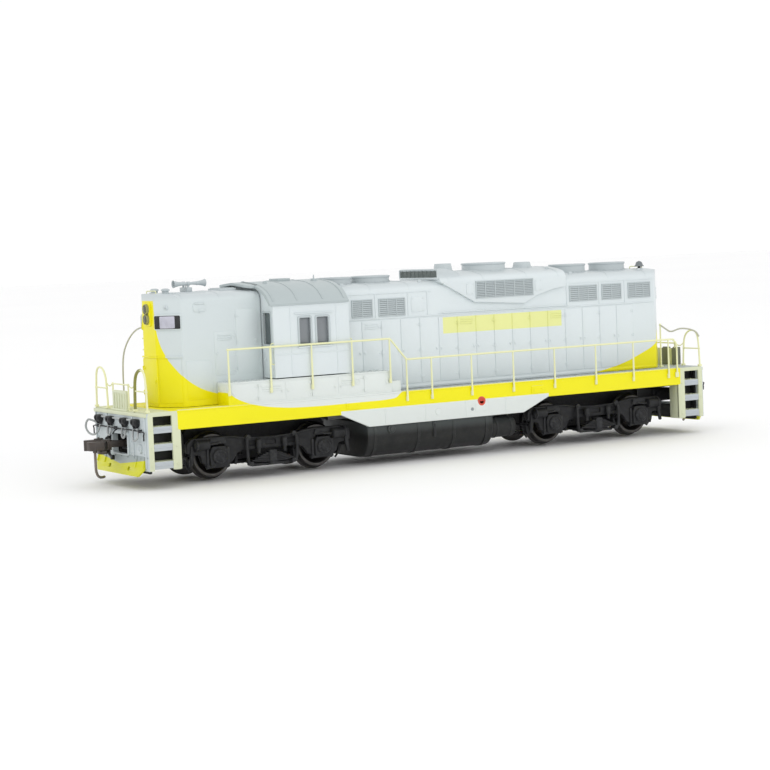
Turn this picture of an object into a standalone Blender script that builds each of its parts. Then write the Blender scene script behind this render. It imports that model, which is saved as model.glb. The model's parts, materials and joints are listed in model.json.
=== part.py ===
"""Model diesel locomotive, H0 size: a four-axle road switcher with a high short hood.

Frame: +X points to the short-hood end, +Y to the locomotive's left, +Z up.
The origin is under the middle of the locomotive, at the lowest point of the wheel flanges.
Heights below are in millimetres above the rail head; RAIL_Z lifts them to the flange bottom.
"""
import math

import bmesh
import bpy
from mathutils import Matrix, Vector

# ------------------------------------------------------------------ driving dimensions, mm
RAIL_Z = 0.7            # flange depth: how far the flanges reach below the rail head
TRUCK_X = 54.25         # truck pivots, from the middle
AXLE_DX = 15.75         # axles, from the truck pivot
WHEEL_R = 5.83          # tread radius
FLANGE_R = WHEEL_R + RAIL_Z
BACK_TO_BACK = 14.4
WHEEL_W = 2.8
HALF_W = 17.5           # half width over the sills
END_X = 91.7            # outer face of the pilots
WELL_X = 82.3           # inner face of the step wells
DECK_Z = 19.2           # top of the walkway
SILL_Z = 14.1           # bottom of the sills over the trucks
SKIRT_Z = 10.2          # bottom of the skirts between the trucks
HOOD_Y = 10.5           # half width of the hoods
HOOD_END_X = 82.2       # end faces of the hoods
HOOD_EAVE_Z = 46.9
HOOD_TOP_Z = 49.45
CAB_X0, CAB_X1 = 30.6, 53.8
CAB_Y = 17.2
CAB_Z0, CAB_EAVE_Z, CAB_TOP_Z = 25.5, 45.0, 50.9
BOX_X0, BOX_X1, BOX_Z = 18.0, 68.0, 25.2   # raised battery boxes beside the cab
WALL = 1.0

TEETH = 14
CENTRE_Z = 11.1
TRAIN = math.hypot(AXLE_DX, CENTRE_Z - WHEEL_R)   # centre gear to axle gear
GEAR_A = TRAIN / 2.0                               # centre distance of each gear pair
MODULE = GEAR_A / TEETH
WORM_RP = 2.4
WORM_Z = CENTRE_Z + GEAR_A / 2.0 + WORM_RP
WORM_PITCH = math.pi * MODULE
SWIVEL = math.radians(9.0)
BALL_DX = 6.0           # drive-shaft ball, from the truck pivot
COUPLER_Z = 10.3
COUPLER_PIVOT_X = 86.2
KNUCKLE_X, KNUCKLE_Y = 97.9, 2.2

# ------------------------------------------------------------------ helpers
for ob in list(bpy.data.objects):
    bpy.data.objects.remove(ob, do_unlink=True)
for me in list(bpy.data.meshes):
    bpy.data.meshes.remove(me)


def P(x, y, z):
    return Vector((x * 0.001, y * 0.001, (z + RAIL_Z) * 0.001))


def temp(bm, name="shape"):
    bmesh.ops.recalc_face_normals(bm, faces=bm.faces)
    me = bpy.data.meshes.new(name)
    bm.to_mesh(me)
    bm.free()
    ob = bpy.data.objects.new(name, me)
    bpy.context.scene.collection.objects.link(ob)
    return ob


def place(axis, u, v, w):
    """A point from two profile coordinates and the position along the axis."""
    if axis == "x":
        return P(w, u, v)
    if axis == "y":
        return P(u, w, v)
    return P(u, v, w)


def prism(axis, pts, a, b):
    """Extrude a profile: (y, z) along x, (x, z) along y, or (x, y) along z."""
    bm = bmesh.new()
    lo = [bm.verts.new(place(axis, u, v, a)) for u, v in pts]
    hi = [bm.verts.new(place(axis, u, v, b)) for u, v in pts]
    bm.faces.new(lo)
    bm.faces.new(hi)
    n = len(pts)
    for i in range(n):
        j = (i + 1) % n
        bm.faces.new((lo[i], lo[j], hi[j], hi[i]))
    return temp(bm)


def box(x0, x1, y0, y1, z0, z1):
    return prism("z", [(x0, y0), (x1, y0), (x1, y1), (x0, y1)], z0, z1)


def circle(cu, cv, r, n, turn=0.0):
    return [(cu + r * math.cos(turn + 2 * math.pi * i / n), cv + r * math.sin(turn + 2 * math.pi * i / n)) for i in range(n)]


def rod(axis, cu, cv, r, a, b, n=12, turn=0.0):
    return prism(axis, circle(cu, cv, r, n, turn), a, b)


def lathe(axis, cu, cv, profile, n=20, bored=False, turn=0.0):
    """Turn a profile of (position along the axis, radius) about an axis. A bored profile is a closed loop."""
    bm = bmesh.new()
    rings = []
    for w, r in profile:
        if r <= 1e-9:
            rings.append([bm.verts.new(place(axis, cu, cv, w))])
        else:
            rings.append([bm.verts.new(place(axis, u, v, w)) for u, v in circle(cu, cv, r, n, turn)])
    pairs = list(zip(rings, rings[1:]))
    if bored:
        pairs.append((rings[-1], rings[0]))
    for ra, rb in pairs:
        for i in range(n):
            j = (i + 1) % n
            if len(ra) == 1 and len(rb) == 1:
                continue
            if len(ra) == 1:
                bm.faces.new((ra[0], rb[i], rb[j]))
            elif len(rb) == 1:
                bm.faces.new((ra[i], ra[j], rb[0]))
            else:
                bm.faces.new((ra[i], ra[j], rb[j], rb[i]))
    if not bored:
        for ring in (rings[0], rings[-1]):
            if len(ring) > 1:
                bm.faces.new(ring)
    return temp(bm)


def tube(points, r, n=6):
    """A bent rod with flat ends along a list of points."""
    pts = [P(*p) for p in points]
    bm = bmesh.new()
    rings = []
    side = None
    for i, p in enumerate(pts):
        if i == 0:
            d = (pts[1] - p).normalized()
        elif i == len(pts) - 1:
            d = (p - pts[i - 1]).normalized()
        else:
            d = ((pts[i + 1] - p).normalized() + (p - pts[i - 1]).normalized()).normalized()
        if side is None:
            ref = Vector((0, 0, 1)) if abs(d.z) < 0.9 else Vector((1, 0, 0))
            side = d.cross(ref).normalized()
        else:
            side = (side - d * side.dot(d)).normalized()
        up = side.cross(d).normalized()
        rings.append([bm.verts.new(p + (side * math.cos(2 * math.pi * k / n) + up * math.sin(2 * math.pi * k / n)) * r * 0.001) for k in range(n)])
    for ra, rb in zip(rings, rings[1:]):
        for k in range(n):
            m = (k + 1) % n
            bm.faces.new((ra[k], ra[m], rb[m], rb[k]))
    bm.faces.new(rings[0])
    bm.faces.new(rings[-1])
    return temp(bm)


def combine(base, tools, op="UNION"):
    for tool in tools:
        mod = base.modifiers.new("cut", "BOOLEAN")
        mod.operation = op
        mod.solver = "EXACT"
        mod.object = tool
        bpy.context.view_layer.update()
        deps = bpy.context.evaluated_depsgraph_get()
        me = bpy.data.meshes.new_from_object(base.evaluated_get(deps))
        base.modifiers.clear()
        old = base.data
        base.data = me
        bpy.data.meshes.remove(old)
        bpy.data.objects.remove(tool, do_unlink=True)
    return base


def union(base, *tools):
    return combine(base, tools, "UNION")


def cut(base, *tools):
    return combine(base, tools, "DIFFERENCE")


def common(base, *tools):
    return combine(base, tools, "INTERSECT")


def moved(ob, dx=0.0, dy=0.0, dz=0.0, mirror_x=False, mirror_y=False, turn_z=0.0):
    m = Matrix.Translation(Vector((dx, dy, dz)) * 0.001) @ Matrix.Rotation(turn_z, 4, "Z")
    if mirror_x:
        m = m @ Matrix.Scale(-1, 4, Vector((1, 0, 0)))
    if mirror_y:
        m = m @ Matrix.Scale(-1, 4, Vector((0, 1, 0)))
    ob.data.transform(m)
    if mirror_x != mirror_y:
        ob.data.flip_normals()
    return ob


def paint(name, rgb, roughness, metallic=0.0, alpha=1.0):
    mat = bpy.data.materials.new(name)
    mat.use_nodes = True
    bsdf = mat.node_tree.nodes["Principled BSDF"]
    bsdf.inputs["Base Color"].default_value = (rgb[0], rgb[1], rgb[2], 1.0)
    bsdf.inputs["Roughness"].default_value = roughness
    bsdf.inputs["Metallic"].default_value = metallic
    bsdf.inputs["Alpha"].default_value = alpha
    mat.diffuse_color = (rgb[0], rgb[1], rgb[2], alpha)
    return mat


COLOURS = {
    "body": ((0.78, 0.80, 0.83), 0.42, 0.0),
    "yellow": ((0.93, 0.86, 0.03), 0.42, 0.0),
    "rail": ((0.90, 0.86, 0.40), 0.45, 0.0),
    "dark": ((0.035, 0.036, 0.040), 0.55, 0.0),
    "grille": ((0.40, 0.43, 0.45), 0.5, 0.0),
    "steel": ((0.50, 0.48, 0.45), 0.3, 1.0),
    "brass": ((0.70, 0.52, 0.22), 0.3, 1.0),
    "cast": ((0.22, 0.22, 0.23), 0.5, 0.8),
    "gear": ((0.85, 0.84, 0.78), 0.45, 0.0),
    "board": ((0.03, 0.22, 0.08), 0.4, 0.0),
    "copper": ((0.55, 0.22, 0.08), 0.35, 0.9),
    "lens": ((0.90, 0.92, 0.92), 0.08, 0.0),
    "coupler": ((0.14, 0.11, 0.10), 0.5, 0.6),
}


def empty(name, x, y, z):
    ob = bpy.data.objects.new(name, None)
    ob.empty_display_size = 0.01
    ob.location = P(x, y, z)
    bpy.context.scene.collection.objects.link(ob)
    return ob


def node(ob, name, colour, origin=None, parent=None, smooth=False):
    """Name a finished shape, give it its own material, and put its origin on its axis."""
    bm = bmesh.new()
    bm.from_mesh(ob.data)
    bmesh.ops.remove_doubles(bm, verts=bm.verts, dist=2e-6)
    bmesh.ops.dissolve_degenerate(bm, edges=bm.edges, dist=1e-6)
    bm.to_mesh(ob.data)
    bm.free()
    at = P(*origin) if origin else Vector((0, 0, 0))
    ob.data.transform(Matrix.Translation(-at))
    base = parent.location if parent else Vector((0, 0, 0))
    ob.location = at - base
    if parent:
        ob.parent = parent
    rgb, rough, metal = COLOURS[colour]
    ob.data.materials.clear()
    ob.data.materials.append(paint(name + "_finish", rgb, rough, metal, 0.35 if colour == "lens" else 1.0))
    if smooth:
        ob.data.shade_smooth()
        ob.data.set_sharp_from_angle(angle=math.radians(35))
    ob.name = name
    ob.data.name = name
    return ob


# ------------------------------------------------------------------ hood and cab profiles
HOOD_SIDE = [(HOOD_Y, HOOD_EAVE_Z), (10.25, 47.75), (9.5, 48.45), (8.2, 48.95), (4.2, 49.3)]


def hood_profile(z0, grow=0.0):
    right = [(y + grow, z + grow) for y, z in HOOD_SIDE]
    return [(HOOD_Y + grow, z0)] + right + [(0.0, HOOD_TOP_Z + grow)] + [(-y, z) for y, z in reversed(right)] + [(-HOOD_Y - grow, z0)]


def hood_plan(x_open, end_x, grow=0.0):
    """Plan of a hood closed at end_x, with its corners cut back (less so at the rear), and open at x_open."""
    s = 1.0 if end_x > 0 else -1.0
    back, flat = (4.8, 4.0) if s > 0 else (2.6, 8.0)
    e, c = end_x + s * grow, end_x - s * (back - grow * 0.45)
    return [(x_open, -HOOD_Y - grow), (c, -HOOD_Y - grow), (e, -flat - grow * 0.4), (e, flat + grow * 0.4), (c, HOOD_Y + grow), (x_open, HOOD_Y + grow)]


def hood(x_open, end_x):
    s = 1.0 if end_x > 0 else -1.0
    outer = common(prism("x", hood_profile(DECK_Z + 0.1), x_open, end_x), prism("z", hood_plan(x_open - s, end_x), 10.0, 60.0))
    inner = common(prism("x", hood_profile(10.0, -WALL), x_open - s * 2, end_x), prism("z", hood_plan(x_open - s * 2, end_x, -WALL), 5.0, 60.0))
    return cut(outer, inner)


# ------------------------------------------------------------------ chassis weight
def chassis_weight():
    main = prism("y", [(-75.5, 22.3), (-36, 22.3), (-34, 12.3), (34, 12.3), (36, 22.3), (75.5, 22.3), (75.5, 30.8), (-75.5, 30.8)], -9.2, 9.2)
    parts = []
    for s in (1, -1):
        arm = [(74.5, 30.8), (80.4, 30.8), (80.4, 16.8), (90.0, 16.8), (90.0, 12.6), (77.5, 12.6), (77.5, 22.3), (74.5, 22.3)]
        parts.append(prism("y", [(s * x, z) for x, z in arm], -3.8, 3.8))
        for t in (1, -1):
            parts.append(box(s * TRUCK_X - 2.5, s * TRUCK_X + 2.5, min(t * 6.3, t * 9.2), max(t * 6.3, t * 9.2), 14.6, 23.0))
    union(main, *parts)
    return cut(main, box(-37.5, 37.5, -7.9, 7.9, 5.0, 24.4))


# ------------------------------------------------------------------ walkway, sills, skirts, steps and pilots
def walkway_frame():
    body = prism("z", [(-END_X, -HALF_W), (END_X, -HALF_W), (END_X, HALF_W), (-END_X, HALF_W)], DECK_Z - 1.2, DECK_Z)
    adds = []
    sill = [(-WELL_X - 0.8, DECK_Z - 0.6), (-WELL_X - 0.8, SILL_Z), (-34.4, SILL_Z), (-25.6, SKIRT_Z), (25.6, SKIRT_Z), (34.4, SILL_Z), (WELL_X + 0.8, SILL_Z), (WELL_X + 0.8, DECK_Z - 0.6)]
    for t in (1, -1):
        adds.append(prism("y", sill, t * 16.3, t * HALF_W))
        adds.append(box(BOX_X0, BOX_X1, min(t * 10.8, t * 17.3), max(t * 10.8, t * 17.3), DECK_Z - 0.5, BOX_Z))
        adds.append(box(14.6, BOX_X0 + 0.5, min(t * 12.0, t * 16.6), max(t * 12.0, t * 16.6), DECK_Z - 0.5, DECK_Z + 3.0))
    for s in (1, -1):
        x = lambda a, b: (min(s * a, s * b), max(s * a, s * b))
        adds.append(box(*x(END_X - 1.3, END_X), -HALF_W, HALF_W, 7.2, DECK_Z - 0.4))
        adds.append(box(*x(END_X - 0.9, END_X), -4.6, 4.6, DECK_Z - 0.5, 24.2))
        adds.append(prism("y", [(s * u, v) for u, v in [(END_X - 1.3, 7.6), (END_X, 7.6), (END_X + 1.7, 2.4), (END_X + 0.7, 2.4), (END_X - 1.3, 6.2)]], -15.5, 15.5))
        for t in (1, -1):
            y = lambda a, b: (min(t * a, t * b), max(t * a, t * b))
            adds.append(box(*x(WELL_X, WELL_X + 0.8), *y(13.0, HALF_W), 3.8, DECK_Z - 0.4))
            adds.append(box(*x(END_X - 1.3, END_X), *y(13.0, HALF_W), 3.8, 8.0))
            adds.append(box(*x(WELL_X + 0.2, END_X - 0.5), *y(13.0, 13.6), 4.2, DECK_Z - 0.4))
            for z0, z1 in ((4.3, 6.3), (9.0, 10.9), (13.6, 15.4)):
                adds.append(box(*x(WELL_X + 0.2, END_X - 0.5), *y(13.3, 17.1), z0, z1))
    union(body, *adds)
    hole = [(81.0, -3.6), (81.0, 3.6), (76.7, 9.4), (-76.7, 9.4), (-81.0, 3.6), (-81.0, -3.6), (-76.7, -9.4), (76.7, -9.4)]
    cut(body, prism("z", hole, 10.0, 30.0))
    for s in (1, -1):
        cut(body, box(min(s * 88, s * 96), max(s * 88, s * 96), -4.7, 4.7, 7.9, 12.6))
    return body


# ------------------------------------------------------------------ cab
def cab_profile(grow=0.0, z0=DECK_Z + 0.1):
    g = grow
    roof = [(CAB_Y + g, CAB_EAVE_Z), (15.6 + g, 46.9 + g), (13.0, 48.7 + g), (8.0, 50.2 + g), (0.0, CAB_TOP_Z + g)]
    right = [(HOOD_Y + g, z0), (HOOD_Y + g, CAB_Z0 - g), (CAB_Y + g, CAB_Z0 - g)] + roof
    return right + [(-y, z) for y, z in reversed(right[:-1])]


def cab_shell():
    shell = prism("x", cab_profile(), CAB_X0, CAB_X1)
    eave = [(17.5, 44.9), (17.5, 45.3), (15.8, 47.2), (13.1, 49.0), (8.0, 50.5), (0, 51.2), (-8.0, 50.5), (-13.1, 49.0), (-15.8, 47.2), (-17.5, 45.3), (-17.5, 44.9), (-16.5, 44.9), (-12.6, 48.4), (-7.7, 49.8), (0, 50.5), (7.7, 49.8), (12.6, 48.4), (16.5, 44.9)]
    brow = [(8.6, 49.75), (8.0, 50.5), (0, 51.2), (-8.0, 50.5), (-8.6, 49.75)]
    union(shell, prism("x", eave, CAB_X0 - 0.1, CAB_X1 + 0.9), prism("x", brow, CAB_X1 - 1.0, CAB_X1 + 3.6))
    cut(shell, prism("x", cab_profile(-WALL, 5.0), CAB_X0 + 0.9, CAB_X1 - 0.9))
    # passage for the frame and the board through both end walls
    cut(shell, box(CAB_X0 - 2, CAB_X1 + 2, -9.5, 9.5, 5.0, 34.0))
    for x0, x1 in ((42.5, 46.1), (37.0, 40.8)):
        cut(shell, box(x0, x1, -20, 20, 33.9, 41.3))
    for t in (1, -1):
        y0, y1 = min(t * 11.3, t * 15.9), max(t * 11.3, t * 15.9)
        cut(shell, box(CAB_X0 - 2, CAB_X1 + 2, y0, y1, 34.4, 43.0))
    return shell


def cab_glazing():
    x0, x1, y = CAB_X0 + 1.2, CAB_X1 - 1.2, CAB_Y - WALL - 0.25
    ring = box(x0, x1, -y, y, 33.0, 43.8)
    return cut(ring, box(x0 + 0.7, x1 - 0.7, -y + 0.7, y - 0.7, 30.0, 50.0))


# ------------------------------------------------------------------ roof pieces
def dynamic_brake_hatch():
    side = [(-2.9, 48.6), (-14.3, 42.4), (-31.4, 41.3), (-35.8, 43.4), (-41.5, 44.9), (-46.3, 45.6), (-46.3, 60.0), (-2.9, 60.0)]
    top = [(11.5, 41.0), (11.5, 48.6), (10.9, 49.6), (9.6, 50.3), (5.0, 51.2), (0.0, 51.5)]
    outline = top + [(-y, z) for y, z in reversed(top[:-1])]
    hatch = common(prism("x", outline, -46.3, -2.9), prism("y", side, -15, 15))
    cut(hatch, prism("x", hood_profile(30.0, 0.12), -50.0, 0.0))
    stacks = []
    for xc, rise in ((-11.0, 0.6), (-38.7, 0.0)):
        stacks.append(lathe("z", xc, 0.0, [(50.8, 2.9), (52.6 + rise, 2.6), (53.1 + rise, 2.3), (53.1 + rise, 1.7), (51.9, 1.7)], 10))
    stacks.append(lathe("z", -25.0, 0.0, [(50.8, 6.6), (52.9, 6.6), (53.5, 6.1), (53.5, 5.4), (52.4, 5.4), (52.4, 1.6), (53.3, 1.2)], 16))
    return union(hatch, *stacks)


def roof_fan(xc, r, top):
    return lathe("z", xc, 0.0, [(49.65, r), (top - 0.5, r), (top, r - 0.5), (top, r - 1.1), (top - 0.5, r - 1.1), (top - 0.5, 1.4), (top - 0.1, 1.0)], 16)


def horn():
    body = box(70.0, 71.6, -2.4, 2.4, 49.6, 50.9)
    out = []
    for y, x0, x1, z in ((1.5, 67.6, 75.2, 51.6), (-1.5, 64.4, 72.4, 51.6)):
        ends = [(x0, 0.45), (x1 - 2.2, 0.6), (x1, 1.05)] if y > 0 else [(x0, 1.05), (x0 + 2.2, 0.6), (x1, 0.45)]
        out.append(lathe("x", y, z, ends, 10))
        out.append(box(70.3, 71.3, y - 0.45, y + 0.45, 50.5, 51.6))
    return union(body, *out)


def bell():
    cup = lathe("z", -80.0, 3.0, [(49.5, 0.6), (50.0, 0.6), (50.0, 1.5), (50.5, 1.25), (51.3, 0.9), (51.7, 0.3)], 12)
    return cup


def headlight(s):
    c = s * (HOOD_END_X + 0.1)
    plate = box(min(c, c + s * 0.5), max(c, c + s * 0.5), -1.75, 1.75, 40.9, 46.9)
    lens = [lathe("x", 0.0, z, [(c + s * 0.3, 1.25), (c + s * 0.9, 1.25), (c + s * 1.15, 0.8)], 12) for z in (42.55, 45.25)]
    return union(plate, *lens)


# ------------------------------------------------------------------ railings
RAIL_T = 0.28


def bar(x0, x1, y, z):
    return box(min(x0, x1), max(x0, x1), y - RAIL_T, y + RAIL_T, z - RAIL_T, z + RAIL_T)


def handrail(t):
    y = t * 17.95          # outside the sill and the cab, clipped to the sill's face
    low, high = 28.0, 34.0
    rail = [(68.2, high + RAIL_T), (18.6, high + RAIL_T), (13.2, low + RAIL_T), (-79.9, low + RAIL_T), (-81.9, low - 2.0), (-81.9, DECK_Z - 2.8),
            (-81.3, DECK_Z - 2.8), (-81.3, low - 2.2), (-79.6, low - RAIL_T), (13.0, low - RAIL_T), (18.4, high - RAIL_T), (68.2, high - RAIL_T)]
    body = prism("y", rail, y - RAIL_T, y + RAIL_T)
    posts = []
    for x in (67.9, 55.5, 43.0, 30.5, 18.6):
        posts.append(box(x - 0.3, x + 0.3, y - RAIL_T, y + RAIL_T, BOX_Z - 3.4, high))
    for x in (13.4, 5.3, -8.0, -22.2, -36.6, -51.4, -65.2):
        posts.append(box(x - 0.3, x + 0.3, y - RAIL_T, y + RAIL_T, DECK_Z - 2.8, low))
    return union(body, *posts)


def end_railing(s):
    x = s * 91.2
    y0, y1 = DECK_Z + 0.1, 30.2
    body = box(x - 0.28, x + 0.28, -9.8, 9.8, 25.6, 26.2)
    adds = []
    for t in (1, -1):
        adds.append(box(x - 0.28, x + 0.28, min(t * 9.3, t * 9.9), max(t * 9.3, t * 9.9), y0, y1))
        adds.append(box(x - 0.28, x + 0.28, min(t * 16.6, t * 17.2), max(t * 16.6, t * 17.2), y0, y1 - 1.5))
        adds.append(prism("x", [(t * 9.3, y1), (t * 12.5, y1 - 0.5), (t * 17.2, y1 - 1.2), (t * 17.2, y1 - 1.8), (t * 12.5, y1 - 1.1), (t * 9.3, y1 - 0.6)], x - 0.28, x + 0.28))
        adds.append(box(x - 0.28, x + 0.28, min(t * 9.6, t * 17.0), max(t * 9.6, t * 17.0), 24.2, 24.8))
        for g in (4.9,):
            adds.append(box(x - 0.28, x + 0.28, min(t * g, t * (g + 0.5)), max(t * g, t * (g + 0.5)), y0, 26.0))
    return union(body, *adds)


def mu_hoses(s):
    x = s * (END_X + 0.9)
    body = rod("y", x, 16.3, 0.5, -13.2, 12.2, 8)
    drops = [tube([(x, y, 16.3), (x + s * 0.5, y, 15.0), (x + s * 0.6, y, 13.6)], 0.45, 6) for y in (-12.4, 3.9, 10.8)]
    drops.append(tube([(x, -5.0, 16.3), (x + s * 0.5, -5.0, 15.0), (x + s * 0.6, -5.0, 13.6)], 0.45, 6))
    return union(body, *drops)


# ------------------------------------------------------------------ tank
def fuel_tank():
    side = [(-15.0, 11.2), (-15.2, 8.6), (-14.6, 4.4), (-12.6, 1.9), (-9.0, 1.2), (9.0, 1.2), (12.6, 1.9), (14.6, 4.4), (15.2, 8.6), (15.0, 11.2)]
    tank = prism("x", side, -16.4, 25.0)
    for t in (1, -1):
        union(tank, lathe("x", t * 11.6, 6.2, [(-25.6, 1.6), (-25.1, 3.0), (-15.9, 3.0)], 14))
    union(tank, box(-25.0, -15.0, -9.5, 9.5, 8.6, 11.2))
    return tank


# ------------------------------------------------------------------ couplers
def coupler_box(s):
    x = lambda a, b: (min(s * a, s * b), max(s * a, s * b))
    body = box(*x(82.9, 90.1), -4.2, 4.2, COUPLER_Z - 1.85, COUPLER_Z + 1.95)
    cut(body, box(*x(83.5, 92.0), -3.6, 3.6, COUPLER_Z - 1.2, COUPLER_Z + 1.2))
    union(body, rod("z", s * COUPLER_PIVOT_X, 0.0, 0.8, COUPLER_Z - 1.6, COUPLER_Z + 1.7, 10))
    return body


def coupler_shank(s):
    ring = rod("z", COUPLER_PIVOT_X, 0.0, 2.2, COUPLER_Z - 0.8, COUPLER_Z + 0.8, 16)
    union(ring, box(COUPLER_PIVOT_X, 95.6, -1.0, 1.0, COUPLER_Z - 0.8, COUPLER_Z + 0.8))
    head = [(94.8, -1.0), (96.4, -2.7), (98.2, -3.3), (100.6, -3.5), (101.4, -2.7), (99.6, -1.5), (98.3, -0.7), (97.3, 0.4), (96.5, 1.0), (94.8, 1.0)]
    union(ring, prism("z", head, COUPLER_Z - 1.5, COUPLER_Z + 1.3))
    shelf = [(95.2, -1.6), (98.2, -1.6), (98.9, 1.4), (98.7, 3.0), (97.2, 3.1), (95.2, 0.9)]
    union(ring, prism("z", shelf, COUPLER_Z - 2.2, COUPLER_Z - 1.4))
    union(ring, rod("z", KNUCKLE_X, KNUCKLE_Y, 0.45, COUPLER_Z - 1.8, COUPLER_Z + 1.3, 8))
    cut(ring, rod("z", COUPLER_PIVOT_X, 0.0, 1.05, COUPLER_Z - 5, COUPLER_Z + 5, 10))
    return moved(ring, turn_z=math.pi) if s < 0 else ring


def coupler_knuckle(s):
    shape = [(96.9, 1.5), (96.8, 3.0), (97.9, 3.6), (100.4, 3.4), (101.7, 2.5), (101.8, 0.5), (101, -0.3), (100.4, 0.9), (99.6, 1.5), (98.5, 1.1), (97.6, 1.05)]
    body = prism("z", shape, COUPLER_Z - 1.2, COUPLER_Z + 1.4)
    cut(body, rod("z", KNUCKLE_X, KNUCKLE_Y, 0.62, COUPLER_Z - 5, COUPLER_Z + 5, 8))
    pin = [(100.2, 2.3, COUPLER_Z - 0.6), (100.2, 2.3, 5.4), (100.0, 2.0, 3.9), (99.2, 1.1, 2.5), (97.9, -0.4, 1.7), (96.2, -2.0, 1.6)]
    union(body, tube(pin, 0.38, 6))
    return moved(body, turn_z=math.pi) if s < 0 else body


# ------------------------------------------------------------------ motor and drive shafts
def round_box(y, z0, z1, c, cz):
    return [(y, z0 + c), (y, z1 - c), (y - c, z1), (-y + c, z1), (-y, z1 - c), (-y, z0 + c), (-y + c, z0), (y - c, z0)]


def motor_housing():
    body = prism("x", round_box(7.3, WORM_Z - 6.0, WORM_Z + 6.0, 2.4, WORM_Z), -12.0, 12.0)
    cut(body, prism("x", round_box(6.4, WORM_Z - 5.2, WORM_Z + 5.2, 2.0, WORM_Z), -11.0, 11.0))
    cut(body, rod("x", 0.0, WORM_Z, 1.5, -14, 14, 12))
    return body


def armature_shaft():
    return lathe("x", 0.0, WORM_Z, [(-20.4, 1.0), (-8.2, 1.0), (-8.2, 2.2), (-6.2, 2.2), (-6.2, 4.6), (6.8, 4.6), (6.8, 1.0), (20.4, 1.0)], 12)


def flywheel(s):
    prof = [(13.0, 1.08), (13.0, 5.7), (13.3, 6.0), (20.0, 6.0), (20.3, 5.7), (20.3, 2.9), (23.4, 2.9), (23.4, 2.3), (20.6, 2.3), (20.6, 1.08)]
    return lathe("x", 0.0, WORM_Z, [(s * x, r) for x, r in prof], 16, bored=True)


def drive_shaft(s):
    b0, b1 = 22.0, TRUCK_X - BALL_DX
    prof = [(b0 - 1.0, 0.45), (b0 - 0.6, 0.95), (b0 + 0.5, 1.0), (b0 + 1.0, 0.7), (b1 - 1.0, 0.7), (b1 - 0.5, 1.0), (b1 + 0.6, 0.95), (b1 + 1.0, 0.45)]
    return lathe("x", 0.0, WORM_Z, [(s * x, r) for x, r in prof], 10)


# ------------------------------------------------------------------ truck pieces, built about a pivot at x = 0
def gear(tooth_at, cx, cz, half_w, bore):
    """A spur gear about the y axis; tooth_at is the angle of a tooth in the x-z plane."""
    pitch = 2 * math.pi / TEETH
    rt, rr = GEAR_A / 2 + 0.78 * MODULE, GEAR_A / 2 - 1.12 * MODULE
    pts = []
    for k in range(TEETH):
        a = tooth_at + k * pitch
        for da, r in ((-0.30, rr), (-0.115, rt), (0.115, rt), (0.30, rr)):
            pts.append((cx + r * math.cos(a + da * pitch), cz + r * math.sin(a + da * pitch)))
    bm = bmesh.new()
    ends = []
    for y in (-half_w, half_w):
        out = [bm.verts.new(P(u, y, v)) for u, v in pts]
        inn = [bm.verts.new(P(cx + bore * math.cos(tooth_at + k * pitch), y, cz + bore * math.sin(tooth_at + k * pitch))) for k in range(TEETH)] if bore else None
        if inn:
            for k in range(TEETH):
                o, n = out[4 * k:4 * k + 4], out[(4 * k + 4) % len(out)]
                bm.faces.new((inn[k], o[0], o[1], o[2], o[3]))
                bm.faces.new((inn[k], o[3], n, inn[(k + 1) % TEETH]))
        else:
            bm.faces.new(out)
        ends.append((out, inn))
    (o0, i0), (o1, i1) = ends
    n = len(o0)
    for k in range(n):
        m = (k + 1) % n
        bm.faces.new((o0[k], o0[m], o1[m], o1[k]))
    if i0:
        for k in range(TEETH):
            m = (k + 1) % TEETH
            bm.faces.new((i0[k], i0[m], i1[m], i1[k]))
    return temp(bm)


def worm(side):
    """Single-start right-hand worm; side is +1 or -1, the way the cup points."""
    half, n = 3.2, 12
    rows = 18
    bm = bmesh.new()

    def radius(x, t):
        u = ((x - WORM_PITCH * t / (2 * math.pi) + WORM_PITCH / 4) / WORM_PITCH) % 1.0
        d = min(u, 1 - u)          # distance from the thread's crest, in pitches
        top, root = WORM_RP + 0.70 * MODULE, WORM_RP - 0.98 * MODULE
        if d < 0.10:
            return top
        if d > 0.30:
            return root
        return top + (root - top) * (d - 0.10) / 0.20

    def ring(x, fn):
        return [bm.verts.new(P(x, fn(k) * math.cos(2 * math.pi * k / n), WORM_Z + fn(k) * math.sin(2 * math.pi * k / n))) for k in range(n)]

    rings = []
    s = side
    # shaft end away from the cup, thread, then the cup with its open mouth
    rings.append(ring(-s * (half + 4.6), lambda k: 0.9))
    rings.append(ring(-s * (half + 0.1), lambda k: 0.9))
    for i in range(rows + 1):
        x = -s * half + s * 2 * half * i / rows
        rings.append(ring(x, lambda k, x=x: radius(x, 2 * math.pi * k / n)))
    rings.append(ring(s * (half + 0.3), lambda k: 1.0))
    rings.append(ring(s * (half + 0.8), lambda k: 2.9))
    rings.append(ring(s * 8.2, lambda k: 2.9))
    rings.append(ring(s * 8.2, lambda k: 2.3))
    rings.append(ring(s * (half + 1.3), lambda k: 2.3))
    for ra, rb in zip(rings, rings[1:]):
        for k in range(n):
            m = (k + 1) % n
            bm.faces.new((ra[k], ra[m], rb[m], rb[k]))
    bm.faces.new(rings[0])
    bm.faces.new(rings[-1])
    return temp(bm)


IDLER = (AXLE_DX / 2, (CENTRE_Z + WHEEL_R) / 2)
PITCH_ANGLE = 2 * math.pi / TEETH
PHI_CENTRE = math.pi / 2


def mesh_phase(phi, theta):
    """Tooth angle of a gear that meshes with one at phase phi, along the line of centres theta."""
    return 2 * theta + math.pi + PITCH_ANGLE / 2 - phi


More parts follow.
